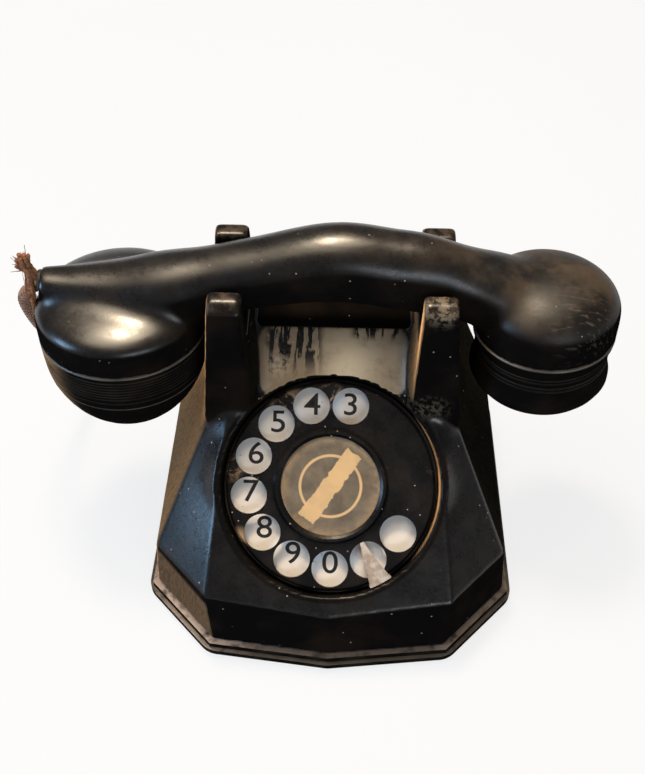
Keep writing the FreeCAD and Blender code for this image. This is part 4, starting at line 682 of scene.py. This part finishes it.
# turned caps with their grooves cut in: shares of the radius and drops from the seam in mm
def turnedMesh(name, profile, centre, segments=144):
    mesh = bpy.data.meshes.new(name)
    points, dust, faces, starts = [], [], [], []
    for radius, height, dusty in profile:
        starts.append(len(points))
        for step in range(segments if radius > 0 else 1):
            angle = 2 * math.pi * step / segments
            x, y = centre[0] + radius * math.cos(angle), centre[1] + radius * math.sin(angle)
            points.append((x, y, height))
            dust.append(dusty)
    for i, (a, b) in enumerate(zip(starts, starts[1:])):
        for step in range(segments):
            after = (step + 1) % segments
            if profile[i][0] == 0:
                faces.append((a, b + step, b + after))
            elif profile[i + 1][0] == 0:
                faces.append((a + after, a + step, b))
            else:
                faces.append((a + after, a + step, b + step, b + after))
    mesh.from_pydata(points, [], faces)
    mesh.attributes.new("dust", "FLOAT", "POINT").data.foreach_set("value", np.array(dust, np.float32))
    mesh.polygons.foreach_set("use_smooth", np.ones(len(mesh.polygons), bool))
    mesh.update()
    return mesh


def groovedProfile(form):
    # the outer line from the seam down, with small vee grooves that hold some dust
    depth, width = form["depth"] * mm, form["width"] * mm
    outer = [(form["radius"] * share, form["seam"] - drop * mm) for share, drop in form["outer"]]
    seam = outer[0][1]
    profile = [(0.0, seam, 0.0), (form["radius"] * 0.86, seam, 0.0), (*outer[0], form["seamDust"])]
    for (r0, z0), (r1, z1) in zip(outer, outer[1:]):
        for drop, dusty in form["grooves"]:
            height = form["seam"] - drop * mm
            if z1 < height - width and height + width < z0:
                radius = r0 + (r1 - r0) * (z0 - height) / (z0 - z1)
                profile.append((radius, height + width, 0.0))
                profile.append((radius - depth, height, dusty))
                profile.append((radius, height - width, 0.0))
        profile.append((r1, z1, 0.0))
    return profile


senderCap = {
    "centre": (-0.0766, 0.009), "seam": 0.098, "radius": 0.0305, "seamDust": 0.5,
    "outer": [(1.0, 0.25), (1.0, 0.9), (0.995, 3.0), (0.985, 7.5), (0.972, 12.0), (0.955, 15.2),
              (0.930, 18.0), (0.895, 21.0), (0.850, 24.0), (0.795, 27.0), (0.725, 30.0), (0.65, 32.6),
              (0.56, 34.8), (0.46, 36.2), (0.36, 37.0), (0.0, 37.5)],
    "grooves": [(2.6, 0.15), (4.0, 0.1), (5.4, 0.1), (6.8, 0.1), (8.2, 0.1), (9.6, 0.1), (11.0, 0.1),
                (13.2, 0.1), (16.6, 0.4)],
    "depth": 0.30, "width": 0.34,
}
earCap = {
    "centre": (0.0756, 0.009), "seam": 0.1016, "radius": 0.0256, "seamDust": 0.7,
    "outer": [(1.0, 0.25), (1.0, 1.0), (0.99, 2.6), (0.955, 4.7), (0.945, 8.6), (0.945, 12.4),
              (0.968, 15.6), (0.99, 17.7), (0.99, 19.5), (0.945, 21.9), (0.875, 24.2), (0.775, 26.6),
              (0.64, 28.4), (0.36, 29.3), (0.0, 29.5)],
    "grooves": [(6.0, 0.15), (7.4, 0.1), (9.8, 0.15), (11.2, 0.1)], "depth": 0.34, "width": 0.36,
}


def makeCap(form, name, nodeName, paint):
    mesh = turnedMesh(name, groovedProfile(form), form["centre"])
    mesh.transform(rolled(roll["angle"]))
    piece = newObject(name, mesh, paint, "handset")
    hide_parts(nodeName)


# the numbers behind the finger holes
numerals = {
    "height": 0.0115, "wide": 1.12, "bold": 0.00005, "thick": 0.00004, "lift": -0.00448, "ring": 0.0297,
    "up": 0.0013, "digits": "1234567890",
}


def onDial():
    return Matrix.Translation(dial["centre"]) @ Matrix.Rotation(dial["tilt"], 4, "X")


def makeNumerals():
    paint = numeralPaint()
    for spotIndex, digit in enumerate(numerals["digits"]):
        angle = math.radians(dial["first"] + dial["step"] * (spotIndex - 2))
        text = bpy.data.curves.new("digit" + digit, "FONT")
        text.body = digit
        text.size = numerals["height"]
        text.align_x = "CENTER"
        text.align_y = "CENTER"
        text.extrude = numerals["thick"]
        text.offset = numerals["bold"]
        draft = bpy.data.objects.new("draft", text)
        scene.collection.objects.link(draft)
        mesh = bpy.data.meshes.new_from_object(draft.evaluated_get(bpy.context.evaluated_depsgraph_get()))
        bpy.data.objects.remove(draft)
        spotAt = Vector((math.cos(angle), math.sin(angle), 0)) * numerals["ring"]
        spotAt += Vector((0, numerals["up"], numerals["lift"]))
        low, high = np.min(readPoints(mesh), 0), np.max(readPoints(mesh), 0)
        mesh.transform(Matrix.Translation((-(low[0] + high[0]) / 2, -(low[1] + high[1]) / 2, 0)))
        mesh.transform(onDial() @ Matrix.Translation(spotAt) @ Matrix.Diagonal((numerals["wide"], 1, 1, 1)))
        newObject("numeral" + digit, mesh, paint, "base")


# the cloth cord, on one smooth line from the handset's tip to the rear inlet
cordForm = {
    "radius": 0.0022, "sides": 14,
    "route": [(-84, 9, 117), (-114, 9.8, 117), (-115, 24, 76), (-110, 48, 36), (-100, 77.5, 2.4),
              (-62, 77.5, 2.4)],
    "coil": (-50.0, 108.0, 2.4), "coilOut": 30.5, "step": 2.5, "rise": 5.0,
    "tail": [(-33, 80, 7.4), (-3, 80, 13), (-3, 50, 13)],
}


def coilPoints():
    # half turns inwards on the table, a climb, and half turns outwards on top
    cx, cy, low = cordForm["coil"]
    step, out = cordForm["step"], cordForm["coilOut"]
    shrink = [0, 1, 2, 3, 4, 5.4, 5.4, 4, 3, 2, 1]
    layer = [0, 0, 0, 0, 0, 0, 1, 1, 1, 1, 1]
    points = []
    side = 1
    for i in range(len(shrink) - 1):
        a = -side * (out - shrink[i] * step)
        b = side * (out - shrink[i + 1] * step)
        middle, reach = (a + b) / 2, abs(a - b) / 2 / 0.975
        for k in range(7):
            share = (k + 0.5) / 7
            turn = math.pi * share
            height = low + cordForm["rise"] * (layer[i] + (layer[i + 1] - layer[i]) * share)
            x, y = cx + side * reach * math.sin(turn), cy + middle - side * reach * math.cos(turn)
            points.append((x, y, height))
        side = -side
    return points


def splineLine(points):
    curve = bpy.data.curves.new("cordLine", "CURVE")
    curve.dimensions = "3D"
    spline = curve.splines.new("NURBS")
    spline.points.add(len(points) - 1)
    for target, point in zip(spline.points, points):
        target.co = (point[0] * mm, point[1] * mm, point[2] * mm, 1)
    spline.order_u = 3
    spline.use_endpoint_u = True
    spline.resolution_u = 10
    draft = bpy.data.objects.new("draft", curve)
    scene.collection.objects.link(draft)
    mesh = bpy.data.meshes.new_from_object(draft.evaluated_get(bpy.context.evaluated_depsgraph_get()))
    line = readPoints(mesh)
    bpy.data.objects.remove(draft)
    return line


def evenSteps(line, step):
    lengths = np.concatenate([[0], np.cumsum(np.linalg.norm(np.diff(line, axis=0), axis=1))])
    marks = np.linspace(0, lengths[-1], int(lengths[-1] / step) + 1)
    return np.stack([np.interp(marks, lengths, line[:, axis]) for axis in range(3)], 1), marks


def tubeMesh(name, line, marks, radius, sides, ripple=0.0):
    ahead = np.gradient(line, axis=0)
    ahead /= np.linalg.norm(ahead, axis=1)[:, None]
    across = np.cross(ahead[0], (0, 0, 1.0))
    if np.linalg.norm(across) < 0.1:
        across = np.cross(ahead[0], (0, 1.0, 0))
    points, around, along = [], [], []
    for spotAt, way, mark in zip(line, ahead, marks):
        across = across - way * across.dot(way)
        across /= np.linalg.norm(across)
        other = np.cross(way, across)
        for side in range(sides):
            angle = 2 * math.pi * side / sides
            woven = max(math.sin(5 * angle + 2600 * mark), math.sin(5 * angle - 2600 * mark))
            reach = radius + ripple * (woven - 0.7)
            points.append(spotAt + (across * math.cos(angle) + other * math.sin(angle)) * reach)
            around.append(angle)
            along.append(mark)
    faces = []
    for ring in range(len(line) - 1):
        for side in range(sides):
            a = ring * sides + side
            b = ring * sides + (side + 1) % sides
            faces.append((a, b, b + sides, a + sides))
    faces.append(tuple(range(sides))[::-1])
    faces.append(tuple((len(line) - 1) * sides + side for side in range(sides)))
    mesh = bpy.data.meshes.new(name)
    mesh.from_pydata([tuple(point) for point in points], [], faces)
    for label, values in (("around", around), ("along", along)):
        mesh.attributes.new(label, "FLOAT", "POINT").data.foreach_set("value", np.array(values, np.float32))
    mesh.polygons.foreach_set("use_smooth", np.ones(len(mesh.polygons), bool))
    mesh.update()
    return mesh


def makeCord():
    points = cordForm["route"] + coilPoints() + cordForm["tail"]
    line, marks = evenSteps(splineLine(points), 1.0 * mm)
    mesh = tubeMesh("handsetCord", line, marks, cordForm["radius"], cordForm["sides"], 0.00008)
    piece = bpy.data.objects.new("handsetCord", mesh)
    scene.collection.objects.link(piece)
    mesh.materials.append(braidPaint())
    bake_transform(piece)
    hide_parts("cord_stub", "cord_drop", "cord_coil", "cord_tail")


# the torn end of the cord at the handset's tip: twisted strands and loose fibres
fray = {
    "root": (-104.2, 9.0, 118.5), "knot": (-107.0, 8.4, 123.5), "strands": 14, "fibres": 46, "sides": 7,
    "ends": [(-109.6, 8.0, 129.6), (-106.6, 9.0, 130.6), (-110.0, 7.0, 125.6), (-107.0, 5.5, 113.0),
             (-106.6, 5.0, 105.0), (-109.0, 8.5, 109.0)],
}


def jitter(point, reach):
    return tuple(value + random.uniform(-reach, reach) for value in point)


def makeFray():
    points, faces = [], []
    for i in range(fray["strands"] + fray["fibres"]):
        thick = i < fray["strands"]
        end = fray["ends"][i % len(fray["ends"])]
        stray = 1.3 if thick else 2.2
        route = [jitter(fray["root"], 0.6), jitter(fray["knot"], stray)]
        route += [jitter(fray["knot"], stray), jitter(end, stray)]
        radius = random.uniform(0.7, 1.15) if thick else random.uniform(0.06, 0.12)
        line, marks = evenSteps(splineLine(route), 0.7 * mm)
        strand = tubeMesh("strand", line, marks, radius * mm, fray["sides"], 0.0001 if thick else 0.0)
        faces += [tuple(len(points) + corner for corner in face.vertices) for face in strand.polygons]
        points += [tuple(vertex.co) for vertex in strand.vertices]
        bpy.data.meshes.remove(strand)
    mesh = bpy.data.meshes.new("frayedEnd")
    mesh.from_pydata(points, [], faces)
    mesh.polygons.foreach_set("use_smooth", np.ones(len(mesh.polygons), bool))
    mesh.update()
    fibre = plainPaint("looseFibre", (0.15, 0.055, 0.024), (0.44, 0.20, 0.095), 0.8, 0.95, 800.0)
    newObject("frayedEnd", mesh, fibre, "handset")


# finishes for the pieces that keep their own solids
def paintNodes():
    steel = metalPaint("plainSteel", (0.30, 0.29, 0.28), (0.55, 0.54, 0.52), 0.3, 0.45, 200.0)
    brass = metalPaint("dullBrass", (0.36, 0.25, 0.10), (0.72, 0.54, 0.26), 0.3, 0.45, 200.0)
    tape = plainPaint("windingTape", (0.06, 0.028, 0.014), (0.16, 0.075, 0.035), 0.6, 0.8, 320.0)
    fibre = plainPaint("insulatorFibre", (0.018, 0.015, 0.013), (0.05, 0.04, 0.032), 0.5, 0.7, 260.0)
    rubber = plainPaint("bushRubber", (0.014, 0.013, 0.013), (0.032, 0.030, 0.028), 0.6, 0.8, 300.0)
    felt = plainPaint("greyFelt", (0.05, 0.045, 0.04), (0.12, 0.105, 0.09), 0.9, 1.0, 900.0)
    stop = metalPaint("stopMetal", (0.46, 0.33, 0.24), (0.86, 0.76, 0.67), 0.36, 0.55, 260.0, 0.5)
    special = {
        "base_plate": footPaint(), "felt_pad": felt, "finger_wheel": dialPaint(), "card_ring": dialPaint(),
        "dial_frame": fibre, "number_plate": platePaint(), "dial_card": cardPaint(),
        "card_window": windowPaint(), "finger_stop": stop,
        "cord_inlet": rubber, "line_inlet": rubber, "cord_bush": rubber,
        "ringer_coils": tape, "induction_coil": tape,
        "pulse_block": fibre, "switch_block": fibre, "terminal_strip": fibre, "pulse_cam": fibre,
        "left_plunger": fibre, "right_plunger": fibre,
    }
    brassNodes = ["left_gong", "right_gong", "main_gear", "governor_pinion", "governor_weights",
                  "governor_cup", "pulse_springs", "switch_springs", "gong_posts"]
    for name, piece in nodes.items():
        if piece.hide_render:
            continue
        paint = special.get(name, brass if name in brassNodes else steel)
        piece.data.materials.clear()
        piece.data.materials.append(paint)


# a white floor: seen directly or in a shine most of its white is its own, and it keeps the shadow
floorForm = {"half": 6.0, "tone": (0.72, 0.77, 0.86), "ownShare": 0.80}


def makeFloor():
    half = floorForm["half"]
    mesh = bpy.data.meshes.new("floor")
    corners = [(-half, -half, 0), (half, -half, 0), (half, half, 0), (-half, half, 0)]
    mesh.from_pydata(corners, [], [(0, 1, 2, 3)])
    piece = bpy.data.objects.new("floor", mesh)
    scene.collection.objects.link(piece)
    paint, tree, shader, where = startMaterial("paleFloor")
    tone = ramp(tree, noise(tree, where, 3.0, 3.0), 0.3, 0.7)
    colour = blendColour(tree, tone, floorForm["tone"], tuple(c * 1.03 for c in floorForm["tone"]))
    wear(tree, shader, colour, smudged(tree, where, 0.75, 0.9))
    path = put(tree, "ShaderNodeLightPath").outputs
    seen = either(tree, path["Is Glossy Ray"], path["Is Transmission Ray"])
    share = both(tree, either(tree, path["Is Camera Ray"], seen), floorForm["ownShare"])
    white = put(tree, "ShaderNodeEmission", {"Color": (1, 1, 1, 1)})
    mixed = put(tree, "ShaderNodeMixShader", {0: share, 1: shader.outputs[0], 2: white.outputs[0]})
    tree.links.new(mixed.outputs[0], tree.nodes["Material Output"].inputs["Surface"])
    mesh.materials.append(paint)


setCamera()
setLamps()
makeFloor()
makeCord()
makeFray()
print("camera, lamps, floor and cord ready")
makeHandset()
makeHousing()
capFinish = capPaint()
makeCap(senderCap, "mouthCap", "transmitter_cap", capFinish)
makeCap(earCap, "earCap", "receiver_cap", capFinish)
print("handset and housing ready")
makeNumerals()
paintNodes()
print("dial and finishes ready")
